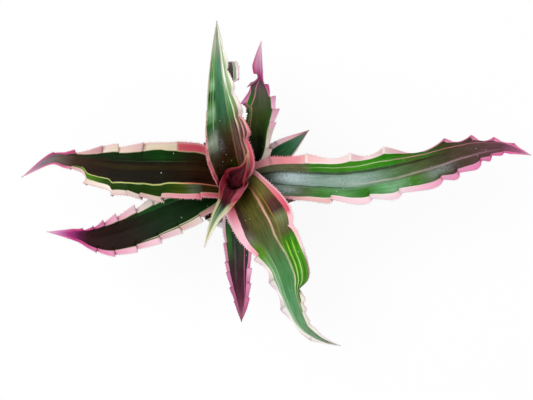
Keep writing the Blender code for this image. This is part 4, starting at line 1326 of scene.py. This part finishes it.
def make_soil():
    """The potting mix: an uneven bed filling the pot, with grains of pumice, perlite and bark on it."""
    low, high = (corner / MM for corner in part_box("soil"))
    radius, foot = high[0], low[2]
    bed = high[2] - BED_DROP
    surface = [(radius * (1 - share), bed) for share in np.linspace(0, 1, 40)]
    mesh = lathe("bed", [(0, foot), (radius * 0.8, foot), (radius, bed - 1), *surface], 120)
    rng = np.random.default_rng(SOIL_SEED)
    waves = rng.uniform(0, math.tau, (12, 2))
    verts = np.array([vert.co for vert in mesh.vertices]) / MM
    lift = np.zeros(len(verts))
    for number, (turn, phase) in enumerate(waves):
        across = verts[:, 0] * math.cos(turn) + verts[:, 1] * math.sin(turn)
        lift += 0.09 * np.sin(across * (0.5 + 0.35 * number) + phase)
    verts[:, 2] += np.where(verts[:, 2] > bed - 0.5, lift, 0)
    faces = [list(face.vertices) for face in mesh.polygons]
    bpy.data.meshes.remove(mesh)
    grains, triangles, tones = grain_shapes(rng, GRAIN_COUNT, radius, bed)
    faces += (triangles + len(verts)).tolist()
    mesh = bpy.data.meshes.new("soil_fine")
    mesh.from_pydata((np.concatenate([verts, grains]) * MM).tolist(), [], faces)
    tone = np.concatenate([np.zeros(len(verts)), tones]).astype(np.float32)
    mesh.attributes.new("grain", "FLOAT", "POINT").data.foreach_set("value", tone)
    mesh.update()
    add_piece("soil_fine", mesh, ["soil"], mix_shade())


def make_camera():
    """Looks straight down on the plant, from about as far up as a hand-held shot."""
    data = bpy.data.cameras.new("camera")
    data.lens = CAMERA_LENS
    camera = new_object("camera", data)
    camera.location = CAMERA_PLACE
    bpy.context.scene.camera = camera


def make_floor():
    bm = bmesh.new()
    bmesh.ops.create_grid(bm, x_segments=2, y_segments=2, size=FLOOR_HALF)
    floor = new_object("floor", mesh_from("floor", bm))
    floor.data.materials.append(floor_shade())


def make_lamp(name, place, size, power):
    """A square soft lamp that faces the plant."""
    data = bpy.data.lights.new(name, "AREA")
    data.energy = power
    data.size = size
    lamp = new_object(name, data)
    lamp.location = place
    toward = mathutils.Vector(PLANT_MIDDLE) - mathutils.Vector(place)
    lamp.rotation_euler = toward.to_track_quat("-Z", "Y").to_euler()


def make_world():
    """An even sky: white where the camera or a reflection sees it, and softer as a light."""
    world = bpy.data.worlds.new("world")
    bpy.context.scene.world = world
    tree = Tree(world)
    path = tree.node("LightPath", {}).outputs
    seen = tree.math("MAXIMUM", path["Is Camera Ray"], path["Is Glossy Ray"])
    seen = tree.math("MAXIMUM", seen, path["Is Transmission Ray"])
    strength = tree.node("MapRange", {"Value": seen, "To Min": SKY_LIGHT}).outputs["Result"]
    tree.fill(tree.nodes["Background"], {"Color": (1, 1, 1, 1), "Strength": strength})


bpy.context.scene.view_settings.view_transform = "Standard"
make_camera()
make_pot()
make_soil()
make_stem()
make_leaves()
make_heart()
make_old_leaves()
make_floor()
make_world()
for lamp in LAMPS:
    make_lamp(*lamp)
